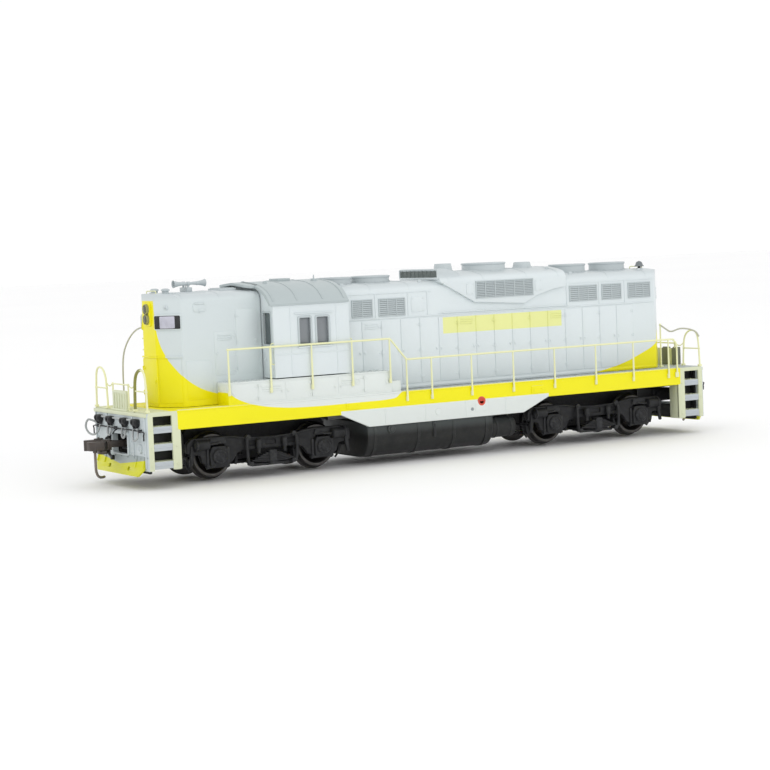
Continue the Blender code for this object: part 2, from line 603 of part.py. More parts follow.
def gearbox(cup_side):
    c = cup_side
    outer = [(-21.4, 3.5), (21.4, 3.5), (21.4, 11.6), (19.0, 14.2), (9.3, 14.2), (9.3, 21.3), (-9.3, 21.3), (-9.3, 14.2), (-19.0, 14.2), (-21.4, 11.6)]
    inner = [(-20.7, 0.0), (20.7, 0.0), (20.7, 11.2), (18.6, 13.5), (8.6, 13.5), (8.6, 20.7), (-8.6, 20.7), (-8.6, 13.5), (-18.6, 13.5), (-20.7, 11.2)]
    body = prism("y", outer, -4.3, 4.3)
    union(body, box(-3.0, 3.0, -9.2, 9.2, 13.4, 14.2))
    cut(body, prism("y", inner, -3.5, 3.5))
    for x in (-AXLE_DX, AXLE_DX):
        cut(body, prism("y", [(x - 1.9, 0.0), (x + 1.9, 0.0), (x + 1.9, WHEEL_R + 0.6), (x + 1.1, WHEEL_R + 1.7), (x - 1.1, WHEEL_R + 1.7), (x - 1.9, WHEEL_R + 0.6)], -6, 6))
    cut(body, rod("x", 0.0, WORM_Z, 3.1, min(c * 8.0, c * 10.0), max(c * 8.0, c * 10.0), 16))
    cut(body, rod("x", 0.0, WORM_Z, 1.15, min(-c * 8.0, -c * 10.0), max(-c * 8.0, -c * 10.0), 12))
    for x, z in ((0.0, CENTRE_Z), IDLER, (-IDLER[0], IDLER[1])):
        union(body, rod("y", x, z, 0.85, -3.9, 3.9, 10))
    return body


def truck_frame():
    side = [(-24.6, 9.0), (-24.6, 5.6), (-21.6, 4.9), (-20.4, 2.6), (-11.2, 2.6), (-9.8, 6.6), (-6.4, 6.6), (-5.2, 1.9), (5.2, 1.9), (6.4, 6.6),
            (9.8, 6.6), (11.2, 2.6), (20.4, 2.6), (21.6, 4.9), (24.6, 5.6), (24.6, 9.0), (22.6, 11.0), (-22.6, 11.0)]
    body = box(-21.2, 21.2, -4.3, 4.3, 2.3, 3.1)
    union(body, box(-3.6, 3.6, -12.5, 12.5, 2.3, 3.1))
    for t in (1, -1):
        union(body, prism("y", side, t * 11.4, t * 13.6))
        for x in (-AXLE_DX, AXLE_DX):
            union(body, box(x - 2.7, x + 2.7, min(t * 13.0, t * 15.2), max(t * 13.0, t * 15.2), 3.2, 9.6))
        union(body, box(-4.6, 4.6, min(t * 13.0, t * 15.0), max(t * 13.0, t * 15.0), 2.1, 5.2))
        for x in (-20.9, 20.9):
            union(body, rod("y", x, 9.2, 1.5, t * 13.0, t * 15.6, 10))
    for x in (-AXLE_DX, AXLE_DX):
        cut(body, box(x - 4.2, x + 4.2, -2.0, 2.0, 0.0, 5.0))
    return body


def axle(cx, phi):
    shaft = lathe("y", cx, WHEEL_R, [(-9.3, 1.0), (-6.9, 1.0), (-6.9, 1.5), (6.9, 1.5), (6.9, 1.0), (9.3, 1.0)], 12)
    return union(shaft, gear(phi, cx, WHEEL_R, 1.4, 0.0))


def wheel(cx, t):
    a = BACK_TO_BACK / 2
    prof = [(a, 1.06), (a, FLANGE_R - 0.1), (a + 0.45, FLANGE_R), (a + 0.85, WHEEL_R + 0.1), (a + WHEEL_W, WHEEL_R - 0.12), (a + WHEEL_W, 4.6), (a + 2.0, 4.2), (a + 2.0, 1.06)]
    return lathe("y", cx, WHEEL_R, [(t * y, r) for y, r in prof], 20, bored=True, turn=-math.pi / 2)


# ------------------------------------------------------------------ build
node(chassis_weight(), "chassis_weight", "cast")
node(walkway_frame(), "walkway_frame", "yellow")
node(fuel_tank(), "fuel_tank", "dark")
node(hood(CAB_X0 - 0.3, -HOOD_END_X), "long_hood_shell", "body")
node(hood(CAB_X1 + 0.3, HOOD_END_X), "short_hood_shell", "body")
node(cab_shell(), "cab_shell", "body")
node(cab_glazing(), "cab_glazing", "lens")
node(dynamic_brake_hatch(), "dynamic_brake_hatch", "body", smooth=True)
for i, (xc, r, top) in enumerate(((25.2, 5.0, 51.3), (13.5, 5.6, 51.3), (-55.0, 5.6, 51.8), (-69.8, 5.6, 51.8)), 1):
    node(roof_fan(xc, r, top), "roof_fan_%d" % i, "grille", smooth=True)
node(horn(), "horn", "body", smooth=True)
node(bell(), "bell", "dark", smooth=True)
node(headlight(1), "headlight_front", "lens", smooth=True)
node(headlight(-1), "headlight_rear", "lens", smooth=True)
node(handrail(1), "handrail_left", "rail")
node(handrail(-1), "handrail_right", "rail")
node(end_railing(1), "end_railing_front", "rail")
node(end_railing(-1), "end_railing_rear", "rail")
node(mu_hoses(1), "mu_hoses_front", "dark", smooth=True)
node(mu_hoses(-1), "mu_hoses_rear", "dark", smooth=True)
board = box(-58.0, 58.0, -7.6, 7.6, 31.2, 32.3)
union(board, box(-40, -28, -4, 4, 32.0, 34.0), box(-8, 6, -5, 5, 32.0, 33.6), box(20, 27, -3.5, 3.5, 32.0, 34.2))
node(board, "circuit_board", "board")
node(motor_housing(), "motor_housing", "cast")
node(armature_shaft(), "armature_shaft", "copper", origin=(0, 0, WORM_Z), smooth=True)
for s, end in ((1, "front"), (-1, "rear")):
    node(flywheel(s), "flywheel_" + end, "brass", origin=(0, 0, WORM_Z), smooth=True)
    node(drive_shaft(s), "drive_shaft_" + end, "dark", origin=(0, 0, WORM_Z), smooth=True)
    node(coupler_box(s), "coupler_box_" + end, "dark")
    node(coupler_shank(s), "coupler_shank_" + end, "coupler", origin=(s * COUPLER_PIVOT_X, 0, COUPLER_Z))
    node(coupler_knuckle(s), "coupler_knuckle_" + end, "coupler", origin=(s * KNUCKLE_X, s * KNUCKLE_Y, COUPLER_Z))
    pivot = empty("truck_%s_pivot" % end, s * TRUCK_X, 0, WORM_Z)
    shift = lambda ob: moved(ob, dx=s * TRUCK_X)
    X = s * TRUCK_X
    node(shift(gearbox(-s)), "gearbox_" + end, "dark", origin=(X, 0, WORM_Z), parent=pivot)
    node(shift(truck_frame()), "truck_frame_" + end, "dark", origin=(X, 0, WORM_Z), parent=pivot)
    node(shift(worm(-s)), "worm_" + end, "brass", origin=(X, 0, WORM_Z), parent=pivot)
    node(shift(gear(PHI_CENTRE, 0.0, CENTRE_Z, 1.4, 1.0)), "centre_gear_" + end, "gear", origin=(X, 0, CENTRE_Z), parent=pivot)
    for d, label in ((s, "outer"), (-s, "inner")):
        theta = math.atan2(WHEEL_R - CENTRE_Z, d * AXLE_DX)
        phi_i = mesh_phase(PHI_CENTRE, theta)
        phi_a = mesh_phase(phi_i, theta)
        tag = "%s_%s" % (end, label)
        node(shift(gear(phi_i, d * IDLER[0], IDLER[1], 1.4, 1.0)), "idler_gear_" + tag, "gear", origin=(X + d * IDLER[0], 0, IDLER[1]), parent=pivot)
        ax = (X + d * AXLE_DX, 0, WHEEL_R)
        node(shift(axle(d * AXLE_DX, phi_a)), "axle_" + tag, "gear", origin=ax, parent=pivot)
        node(shift(wheel(d * AXLE_DX, 1)), "wheel_%s_left" % tag, "steel", origin=ax, parent=pivot, smooth=True)
        node(shift(wheel(d * AXLE_DX, -1)), "wheel_%s_right" % tag, "steel", origin=ax, parent=pivot, smooth=True)
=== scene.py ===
"""Looks of the H0 model diesel locomotive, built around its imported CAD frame.

Lengths in the builders below are millimetres, heights above the rail head, as in the CAD;
P() turns them into metres in the shared frame.
"""
import json
import math

import bmesh
import bpy
from mathutils import Matrix, Vector

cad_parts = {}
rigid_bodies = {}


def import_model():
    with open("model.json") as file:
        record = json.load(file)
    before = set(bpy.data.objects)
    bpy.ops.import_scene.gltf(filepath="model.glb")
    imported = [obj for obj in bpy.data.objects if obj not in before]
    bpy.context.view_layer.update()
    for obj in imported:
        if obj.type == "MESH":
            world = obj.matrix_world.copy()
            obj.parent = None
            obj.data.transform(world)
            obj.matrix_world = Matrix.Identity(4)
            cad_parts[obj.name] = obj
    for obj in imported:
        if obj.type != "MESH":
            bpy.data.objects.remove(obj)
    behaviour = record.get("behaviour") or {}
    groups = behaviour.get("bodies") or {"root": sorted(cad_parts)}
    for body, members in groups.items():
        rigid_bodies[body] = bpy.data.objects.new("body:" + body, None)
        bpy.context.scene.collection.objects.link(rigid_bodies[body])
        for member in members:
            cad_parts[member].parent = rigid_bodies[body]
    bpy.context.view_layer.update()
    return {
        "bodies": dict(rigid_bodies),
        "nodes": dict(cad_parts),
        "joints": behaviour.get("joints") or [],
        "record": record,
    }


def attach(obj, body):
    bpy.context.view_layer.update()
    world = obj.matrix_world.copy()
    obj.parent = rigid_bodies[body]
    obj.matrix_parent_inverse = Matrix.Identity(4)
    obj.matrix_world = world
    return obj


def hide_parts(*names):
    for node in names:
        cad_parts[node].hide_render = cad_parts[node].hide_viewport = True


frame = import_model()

MM = 0.001
RAIL_Z = 0.7
TRUCK_X, AXLE_DX, WHEEL_R = 54.25, 15.75, 5.83
HALF_W, END_X, WELL_X = 17.5, 91.7, 82.3
DECK_Z, SILL_Z, SKIRT_Z = 19.2, 14.1, 10.2
HOOD_Y, HOOD_END_X, HOOD_EAVE_Z, HOOD_TOP_Z = 10.5, 82.2, 46.9, 49.45
CAB_X0, CAB_X1, CAB_Y, CAB_Z0, CAB_EAVE_Z, CAB_TOP_Z = 30.6, 53.8, 17.2, 25.5, 45.0, 50.9
BOX_X0, BOX_X1, BOX_Z = 18.0, 68.0, 25.2
COUPLER_Z, COUPLER_PIVOT_X, KNUCKLE_X, KNUCKLE_Y = 10.3, 86.2, 97.9, 2.2
WALL = 1.0


# ================================================================== mesh helpers
def P(x, y, z):
    return Vector((x, y, z + RAIL_Z)) * MM


def place(axis, u, v, w):
    if axis == "x":
        return P(w, u, v)
    if axis == "y":
        return P(u, w, v)
    return P(u, v, w)


def arc(cu, cv, r, a0, a1, n):
    return [(cu + r * math.cos(a0 + (a1 - a0) * i / n), cv + r * math.sin(a0 + (a1 - a0) * i / n)) for i in range(n + 1)]


def ring_pts(cu, cv, r, n, turn=0.0):
    return [(cu + r * math.cos(turn + 2 * math.pi * i / n), cv + r * math.sin(turn + 2 * math.pi * i / n)) for i in range(n)]


def curve_through(points, k=4, closed=False):
    """Catmull-Rom points through a list of 2-D or 3-D points."""
    pts = [Vector(p) for p in points]
    n = len(pts)
    out = []
    spans = n if closed else n - 1
    for i in range(spans):
        p1, p2 = pts[i], pts[(i + 1) % n]
        p0 = pts[(i - 1) % n] if closed or i > 0 else p1 * 2 - p2
        p3 = pts[(i + 2) % n] if closed or i + 2 < n else p2 * 2 - p1
        for j in range(k):
            t = j / k
            out.append(0.5 * ((2 * p1) + (p2 - p0) * t + (2 * p0 - 5 * p1 + 4 * p2 - p3) * t * t + (3 * p1 - p0 - 3 * p2 + p3) * t ** 3))
    if not closed:
        out.append(pts[-1])
    return [tuple(p) for p in out]


def fillet(pts, r, k=4):
    """Round every corner of a closed 2-D outline by radius r."""
    out = []
    n = len(pts)
    for i in range(n):
        p = Vector(pts[i]); a = Vector(pts[i - 1]); b = Vector(pts[(i + 1) % n])
        da, db = (a - p), (b - p)
        la, lb = da.length, db.length
        if la < 1e-6 or lb < 1e-6:
            continue
        da /= la; db /= lb
        ang = math.acos(max(-1, min(1, da.dot(db))))
        if ang > math.pi - 0.15:
            out.append(tuple(p)); continue
        d = min(r / math.tan(ang / 2), la * 0.45, lb * 0.45)
        s, e = p + da * d, p + db * d
        for j in range(k + 1):
            t = j / k
            out.append(tuple((1 - t) ** 2 * s + 2 * t * (1 - t) * p + t * t * e))
    return out


def bm_prism(axis, pts, a, b):
    bm = bmesh.new()
    lo = [bm.verts.new(place(axis, p[0], p[1], a)) for p in pts]
    hi = [bm.verts.new(place(axis, p[0], p[1], b)) for p in pts]
    bm.faces.new(lo)
    bm.faces.new(hi)
    n = len(pts)
    for i in range(n):
        j = (i + 1) % n
        bm.faces.new((lo[i], lo[j], hi[j], hi[i]))
    return bm


def bm_lathe(axis, cu, cv, profile, n=40, bored=False, turn=0.0):
    bm = bmesh.new()
    rings = []
    for w, r in profile:
        if r <= 1e-9:
            rings.append([bm.verts.new(place(axis, cu, cv, w))])
        else:
            rings.append([bm.verts.new(place(axis, u, v, w)) for u, v in ring_pts(cu, cv, r, n, turn)])
    pairs = list(zip(rings, rings[1:]))
    if bored:
        pairs.append((rings[-1], rings[0]))
    for ra, rb in pairs:
        for i in range(n):
            j = (i + 1) % n
            if len(ra) == 1 and len(rb) == 1:
                continue
            if len(ra) == 1:
                bm.faces.new((ra[0], rb[i], rb[j]))
            elif len(rb) == 1:
                bm.faces.new((ra[i], ra[j], rb[0]))
            else:
                bm.faces.new((ra[i], ra[j], rb[j], rb[i]))
    if not bored:
        for ring in (rings[0], rings[-1]):
            if len(ring) > 1:
                bm.faces.new(ring)
    return bm


def bm_tube(points, r, n=10, closed=False, radii=None):
    pts = [P(*p) for p in points]
    bm = bmesh.new()
    rings, side, m = [], None, len(pts)
    for i, p in enumerate(pts):
        if closed:
            d = (pts[(i + 1) % m] - pts[i - 1]).normalized()
        elif i == 0:
            d = (pts[1] - p).normalized()
        elif i == m - 1:
            d = (p - pts[i - 1]).normalized()
        else:
            d = ((pts[i + 1] - p).normalized() + (p - pts[i - 1]).normalized()).normalized()
        if side is None:
            ref = Vector((0, 0, 1)) if abs(d.z) < 0.9 else Vector((1, 0, 0))
            side = d.cross(ref).normalized()
        else:
            side = (side - d * side.dot(d)).normalized()
        up = side.cross(d).normalized()
        rr = (radii[i] if radii else r) * MM
        rings.append([bm.verts.new(p + (side * math.cos(2 * math.pi * k / n) + up * math.sin(2 * math.pi * k / n)) * rr) for k in range(n)])
    for ra, rb in (list(zip(rings, rings[1:])) + ([(rings[-1], rings[0])] if closed else [])):
        for k in range(n):
            q = (k + 1) % n
            bm.faces.new((ra[k], ra[q], rb[q], rb[k]))
    if not closed:
        bm.faces.new(rings[0])
        bm.faces.new(rings[-1])
    return bm


class Shape:
    """Closed shells gathered into one mesh, each with its material index."""

    def __init__(self):
        self.bm = bmesh.new()

    def put(self, bm, mat=0, bevel=0.0, seg=2, angle=32):
        bmesh.ops.recalc_face_normals(bm, faces=bm.faces)
        if bevel > 0:
            edges = [e for e in bm.edges if len(e.link_faces) == 2 and e.calc_face_angle(0.0) > math.radians(angle)]
            if edges:
                bmesh.ops.bevel(bm, geom=edges, offset=bevel * MM, offset_type="OFFSET", segments=seg, profile=0.5, affect="EDGES", clamp_overlap=True)
        for f in bm.faces:
            f.material_index = mat
        me = bpy.data.meshes.new("t")
        bm.to_mesh(me)
        bm.free()
        self.bm.from_mesh(me)
        bpy.data.meshes.remove(me)
        return self

    def prism(self, axis, pts, a, b, mat=0, bevel=0.0, seg=2, angle=32):
        return self.put(bm_prism(axis, pts, a, b), mat, bevel, seg, angle)

    def box(self, x0, x1, y0, y1, z0, z1, mat=0, bevel=0.08, seg=2):
        x0, x1 = sorted((x0, x1)); y0, y1 = sorted((y0, y1)); z0, z1 = sorted((z0, z1))
        return self.put(bm_prism("z", [(x0, y0), (x1, y0), (x1, y1), (x0, y1)], z0, z1), mat, min(bevel, 0.3 * min(x1 - x0, y1 - y0, z1 - z0)), seg)

    def rod(self, axis, cu, cv, r, a, b, mat=0, n=24, bevel=0.0):
        a, b = sorted((a, b))
        c = bevel
        prof = [(a, r), (b, r)] if not c else [(a, r - c), (a + c * 0.4, r - c * 0.25), (a + c, r), (b - c, r), (b - c * 0.4, r - c * 0.25), (b, r - c)]
        return self.put(bm_lathe(axis, cu, cv, prof, n), mat)

    def lathe(self, axis, cu, cv, profile, mat=0, n=40, bored=False, turn=0.0):
        return self.put(bm_lathe(axis, cu, cv, profile, n, bored, turn), mat)

    def tube(self, points, r, mat=0, n=10, closed=False, radii=None):
        return self.put(bm_tube(points, r, n, closed, radii), mat)

    def ball(self, x, y, z, r, mat=0, n=14, squash=1.0):
        k = 7
        prof = [(z + squash * r * -math.cos(math.pi * i / k), r * math.sin(math.pi * i / k) if 0 < i < k else 0.0) for i in range(k + 1)]
        return self.put(bm_lathe("z", x, y, prof, n), mat)

    def bolt(self, axis, cu, cv, w, out, r=0.32, h=0.22, mat=0):
        """A domed six-sided bolt head whose base is at w along the axis, pointing the way out goes."""
        prof = [(w - out * 0.15, r), (w + out * h * 0.7, r), (w + out * h, r * 0.72), (w + out * h, 0.0)]
        return self.put(bm_lathe(axis, cu, cv, prof, 6), mat)

    def shift(self, dx=0.0, dy=0.0, dz=0.0, turn=0.0):
        m = Matrix.Translation(Vector((dx, dy, dz)) * MM) @ Matrix.Rotation(turn, 4, "Z")
        self.bm.transform(m)
        return self

    def join(self, other):
        me = bpy.data.meshes.new("t")
        other.bm.to_mesh(me)
        self.bm.from_mesh(me)
        bpy.data.meshes.remove(me)
        return self


def raw(bm):
    bmesh.ops.recalc_face_normals(bm, faces=bm.faces)
    me = bpy.data.meshes.new("raw")
    bm.to_mesh(me)
    bm.free()
    ob = bpy.data.objects.new("raw", me)
    bpy.context.scene.collection.objects.link(ob)
    return ob


def boolean(base, op, *tools):
    for tool in tools:
        mod = base.modifiers.new("cut", "BOOLEAN")
        mod.operation, mod.solver, mod.object = op, "EXACT", tool
        bpy.context.view_layer.update()
        me = bpy.data.meshes.new_from_object(base.evaluated_get(bpy.context.evaluated_depsgraph_get()))
        base.modifiers.clear()
        old = base.data
        base.data = me
        bpy.data.meshes.remove(old)
        bpy.data.objects.remove(tool, do_unlink=True)
    return base


def to_bm(ob, bevel=0.0, seg=3, angle=30):
    """Bevel the crisp edges of a finished solid with the Bevel modifier and hand back its bmesh."""
    bm = bmesh.new()
    bm.from_mesh(ob.data)
    bmesh.ops.remove_doubles(bm, verts=bm.verts, dist=2e-6)
    bmesh.ops.dissolve_limit(bm, angle_limit=math.radians(0.3), verts=bm.verts, edges=bm.edges)
    bm.to_mesh(ob.data)
    bm.free()
    if bevel:
        mod = ob.modifiers.new("round", "BEVEL")
        mod.width, mod.segments, mod.limit_method, mod.angle_limit = bevel * MM, seg, "ANGLE", math.radians(angle)
        mod.use_clamp_overlap = True
    bpy.context.view_layer.update()
    me = bpy.data.meshes.new_from_object(ob.evaluated_get(bpy.context.evaluated_depsgraph_get()))
    bm = bmesh.new()
    bm.from_mesh(me)
    bpy.data.meshes.remove(me)
    bpy.data.objects.remove(ob, do_unlink=True)
    return bm


def piece(shape, name, mats, body="root", replaces=(), angle=38):
    me = bpy.data.meshes.new(name)
    bmesh.ops.dissolve_degenerate(shape.bm, edges=shape.bm.edges, dist=1e-7)
    shape.bm.to_mesh(me)
    shape.bm.free()
    ob = bpy.data.objects.new(name, me)
    bpy.context.scene.collection.objects.link(ob)
    for m in (mats if isinstance(mats, (list, tuple)) else [mats]):
        me.materials.append(m)
    me.shade_smooth()
    me.set_sharp_from_angle(angle=math.radians(angle))
    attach(ob, body)
    if replaces:
        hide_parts(*([replaces] if isinstance(replaces, str) else replaces))
    return ob


# ================================================================== materials
def S(r, g, b):
    return tuple(((c / 255) / 12.92 if c / 255 <= 0.04045 else ((c / 255 + 0.055) / 1.055) ** 2.4) for c in (r, g, b))


class Graph:
    """Short names for the shader nodes used below."""

    def __init__(self, name):
        self.mat = bpy.data.materials.new(name)
        self.mat.use_nodes = True
        self.nt = self.mat.node_tree
        self.nt.nodes.clear()
        out = self.new("ShaderNodeOutputMaterial")
        self.bsdf = self.new("ShaderNodeBsdfPrincipled")
        self.nt.links.new(self.bsdf.outputs[0], out.inputs[0])
        self.pos = self.new("ShaderNodeTexCoord").outputs["Object"]
        self._xyz = None

    def new(self, kind):
        return self.nt.nodes.new(kind)

    def feed(self, socket, value):
        if hasattr(value, "node"):
            self.nt.links.new(value, socket)
        elif isinstance(value, tuple) and len(value) == 3 and socket.type == "RGBA":
            socket.default_value = (*value, 1.0)
        else:
            socket.default_value = value

    def noise(self, scale, detail=3.0, rough=0.55, vec=None, out="Fac"):
        n = self.new("ShaderNodeTexNoise")
        self.nt.links.new(vec or self.pos, n.inputs["Vector"])
        n.inputs["Scale"].default_value = scale
        n.inputs["Detail"].default_value = detail
        n.inputs["Roughness"].default_value = rough
        return n.outputs[out]

    def cells(self, scale, vec=None, feature="F1", out="Distance"):
        n = self.new("ShaderNodeTexVoronoi")
        n.feature = feature
        self.nt.links.new(vec or self.pos, n.inputs["Vector"])
        n.inputs["Scale"].default_value = scale
        return n.outputs[out]

    def math(self, op, a, b=0.0, clamp=False):
        n = self.new("ShaderNodeMath")
        n.operation, n.use_clamp = op, clamp
        self.feed(n.inputs[0], a)
        self.feed(n.inputs[1], b)
        return n.outputs[0]

    def remap(self, v, a, b, c, d, smooth=False):
        n = self.new("ShaderNodeMapRange")
        n.clamp = True
        if smooth:
            n.interpolation_type = "SMOOTHSTEP"
        self.feed(n.inputs["Value"], v)
        for k, x in zip(("From Min", "From Max", "To Min", "To Max"), (a, b, c, d)):
            n.inputs[k].default_value = x
        return n.outputs[0]

    def mix(self, fac, a, b, blend="MIX"):
        n = self.new("ShaderNodeMix")
        n.data_type, n.blend_type = "RGBA", blend
        self.feed(n.inputs[0], fac)
        self.feed(n.inputs[6], a)
        self.feed(n.inputs[7], b)
        return n.outputs[2]

    def stretch(self, sx, sy, sz):
        n = self.new("ShaderNodeMapping")
        self.nt.links.new(self.pos, n.inputs["Vector"])
        n.inputs["Scale"].default_value = (sx, sy, sz)
        return n.outputs[0]

    def xyz(self):
        """Position in millimetres, heights above the rail head."""
        if self._xyz is None:
            n = self.new("ShaderNodeSeparateXYZ")
            self.nt.links.new(self.pos, n.inputs[0])
            x, y, z = (self.math("MULTIPLY", o, 1000.0) for o in n.outputs)
            self._xyz = (x, y, self.math("SUBTRACT", z, RAIL_Z))
        return self._xyz

    def curve(self, v, lo, hi, points, out_lo, out_hi):
        """A curve of (v, value) points, read at v."""
        t = self.remap(v, lo, hi, 0.0, 1.0)
        n = self.new("ShaderNodeFloatCurve")
        self.nt.links.new(t, n.inputs["Value"])
        c = n.mapping.curves[0]
        pts = [((a - lo) / (hi - lo), (b - out_lo) / (out_hi - out_lo)) for a, b in points]
        c.points[0].location, c.points[1].location = pts[0], pts[-1]
        for p in pts[1:-1]:
            c.points.new(*p)
        n.mapping.update()
        return self.remap(n.outputs[0], 0.0, 1.0, out_lo, out_hi)

    def band(self, v, a, b, soft=0.05):
        """1 where a < v < b."""
        up = self.remap(v, a - soft, a + soft, 0.0, 1.0)
        down = self.remap(v, b - soft, b + soft, 1.0, 0.0)
        return self.math("MULTIPLY", up, down)

    def bump(self, height, strength, distance, normal=None):
        n = self.new("ShaderNodeBump")
        n.inputs["Strength"].default_value = strength
        n.inputs["Distance"].default_value = distance
        self.nt.links.new(height, n.inputs["Height"])
        if normal is not None:
            self.nt.links.new(normal, n.inputs["Normal"])
        return n.outputs[0]

    def edges(self, lo=0.52, hi=0.60):
        g = self.new("ShaderNodeNewGeometry")
        return self.remap(g.outputs["Pointiness"], lo, hi, 0.0, 1.0)

    def sockets(self, **kw):
        for k, v in kw.items():
            self.feed(self.bsdf.inputs[k.replace("_", " ")], v)
        return self


def painted(name, base, rough=0.38, layers=None, tint=0.05, grain=0.25, coat=0.05, wear=None, dust=None):
    """Sprayed paint on a moulding: pigment drift, orange peel, fine specks, and, where asked, edges of another colour,
    part wear and part painted highlight.
    """
    g = Graph(name)
    colour = base
    if layers:
        colour = layers(g, base)
    drift = g.noise(55.0, 3.0, 0.5)
    fine = g.noise(2600.0, 2.0, 0.6)
    low = g.mix(1.0, colour, (1.0 - tint, 1.0 - tint, 1.0 - tint * 0.8), "MULTIPLY")
    colour = g.mix(g.remap(drift, 0.35, 0.65, 0.0, 1.0), colour, low)
    colour = g.mix(g.remap(fine, 0.60, 0.78, 0.0, 0.22), colour, g.mix(1.0, colour, (0.82, 0.82, 0.82), "MULTIPLY"))
    if dust:
        _, _, z = g.xyz()
        amount = g.math("MULTIPLY", g.remap(z, dust[1], dust[2], dust[3], 0.0), g.remap(g.noise(240.0, 5.0, 0.65), 0.35, 0.7, 0.2, 1.0))
        colour = g.mix(amount, colour, dust[0])
    if wear:
        amount = g.math("MULTIPLY", g.edges(), g.remap(g.noise(900.0, 4.0, 0.7), 0.45, 0.62, 0.0, wear[1]))
        colour = g.mix(amount, colour, wear[0])
    r = g.math("ADD", g.remap(g.noise(420.0, 4.0, 0.6), 0.3, 0.7, rough - 0.05, rough + 0.07), g.remap(fine, 0.3, 0.7, -0.02, 0.03))
    peel = g.noise(1500.0, 2.0, 0.5)
    n = g.bump(peel, grain, 0.00003)
    n = g.bump(g.noise(5200.0, 2.0, 0.6), grain * 0.7, 0.00001, n)
    g.sockets(Base_Color=colour, Roughness=r, Normal=n)
    g.sockets(Coat_Weight=coat, Coat_Roughness=0.25, IOR=1.5, Specular_IOR_Level=0.32)
    return g.mat


def moulded(name, base, rough=0.5, sheen=(0.10, 0.10, 0.10), edge_wear_and_highlight=0.5, texture=0.5, spec=0.5, dust=0.25, lit_top=None):
    """Black or grey moulded plastic with a cast-like texture, pale edges that are part handling wear and part painted
    highlight, and where asked a top made paler as painted reflection.
    """
    g = Graph(name)
    mott = g.noise(160.0, 4.0, 0.6)
    tex = g.noise(3000.0, 3.0, 0.6)
    colour = g.mix(g.remap(mott, 0.3, 0.7, 0.0, 1.0), base, tuple(c * 1.45 + 0.004 for c in base))
    _, _, z = g.xyz()
    # where asked, paler towards the top: painted reflection on the upper side
    if lit_top:
        colour = g.mix(g.remap(z, lit_top[0], lit_top[1], 0.0, 1.0, True), colour, lit_top[2])
    settle = g.math("MULTIPLY", g.remap(g.noise(700.0, 5.0, 0.7), 0.42, 0.70, 0.0, dust), g.remap(z, 0.0, 14.0, 1.0, 0.45))
    colour = g.mix(settle, colour, tuple(c * 0.7 + 0.10 for c in sheen))
    # pale edges: part handling wear, part painted highlight
    colour = g.mix(g.math("MULTIPLY", g.edges(0.51, 0.58), g.remap(g.noise(1200.0, 3.0, 0.6), 0.4, 0.65, 0.1, edge_wear_and_highlight)), colour, tuple(c * 2.2 + 0.05 for c in sheen))
    r = g.remap(g.noise(600.0, 4.0, 0.6), 0.3, 0.7, rough - 0.08, rough + 0.12)
    n = g.bump(tex, texture * 0.5, 0.00003)
    n = g.bump(g.noise(900.0, 2.0, 0.5), texture * 0.3, 0.00005, n)
    g.sockets(Base_Color=colour, Roughness=r, Normal=n, Specular_IOR_Level=spec)
    return g.mat


def metal(name, base, rough=0.3, turned=None, tarnish=(0.2, 0.15, 0.1), amount=0.35, cast=0.0):
    """Bare metal: lathe rings or brushing, tarnish in patches, a cast skin where asked."""
    g = Graph(name)
    patch = g.remap(g.noise(300.0, 5.0, 0.65), 0.45, 0.75, 0.0, amount)
    colour = g.mix(patch, base, tarnish)
    colour = g.mix(g.math("MULTIPLY", g.edges(), 0.4), colour, tuple(min(1.0, c * 1.4 + 0.05) for c in base))
    line = g.noise(500.0, 2.0, 0.5, g.stretch(*(turned or (1.0, 1.0, 1.0))))
    r = g.math("ADD", g.remap(line, 0.3, 0.7, rough - 0.06, rough + 0.1), g.math("MULTIPLY", patch, 0.35))
    n = g.bump(line, 0.25, 0.00002)
    if cast:
        n = g.bump(g.noise(2200.0, 4.0, 0.7), cast, 0.00004, n)
    g.sockets(Base_Color=colour, Roughness=r, Normal=n, Metallic=1.0)
    return g.mat


SILVER, YELLOW = S(215, 223, 225), S(239, 230, 0)
PALE_BAND, DARK, WHITE = S(228, 231, 155), (0.018, 0.019, 0.021), S(219, 225, 222)
# The roof tone is the silver painted greyer: painted shade on the hood roof.
GREY, ROOF_PAINTED_SHADE = S(172, 181, 182), S(198, 206, 208)


def around(g, side_end, flat):
    """Distance walked along a hood's side, over its cut corner and across its end face."""
    x, y, z = g.xyz()
    ay = g.math("ABSOLUTE", y)
    run = math.hypot(HOOD_END_X - side_end, HOOD_Y - flat) / (HOOD_Y - flat)
    along = g.math("MINIMUM", g.math("ABSOLUTE", x), side_end)
    corner = g.math("MULTIPLY", g.math("SUBTRACT", HOOD_Y, g.math("MINIMUM", g.math("MAXIMUM", ay, flat), HOOD_Y)), run)
    face = g.math("SUBTRACT", flat, g.math("MINIMUM", ay, flat))
    return g.math("ADD", g.math("ADD", along, corner), face)


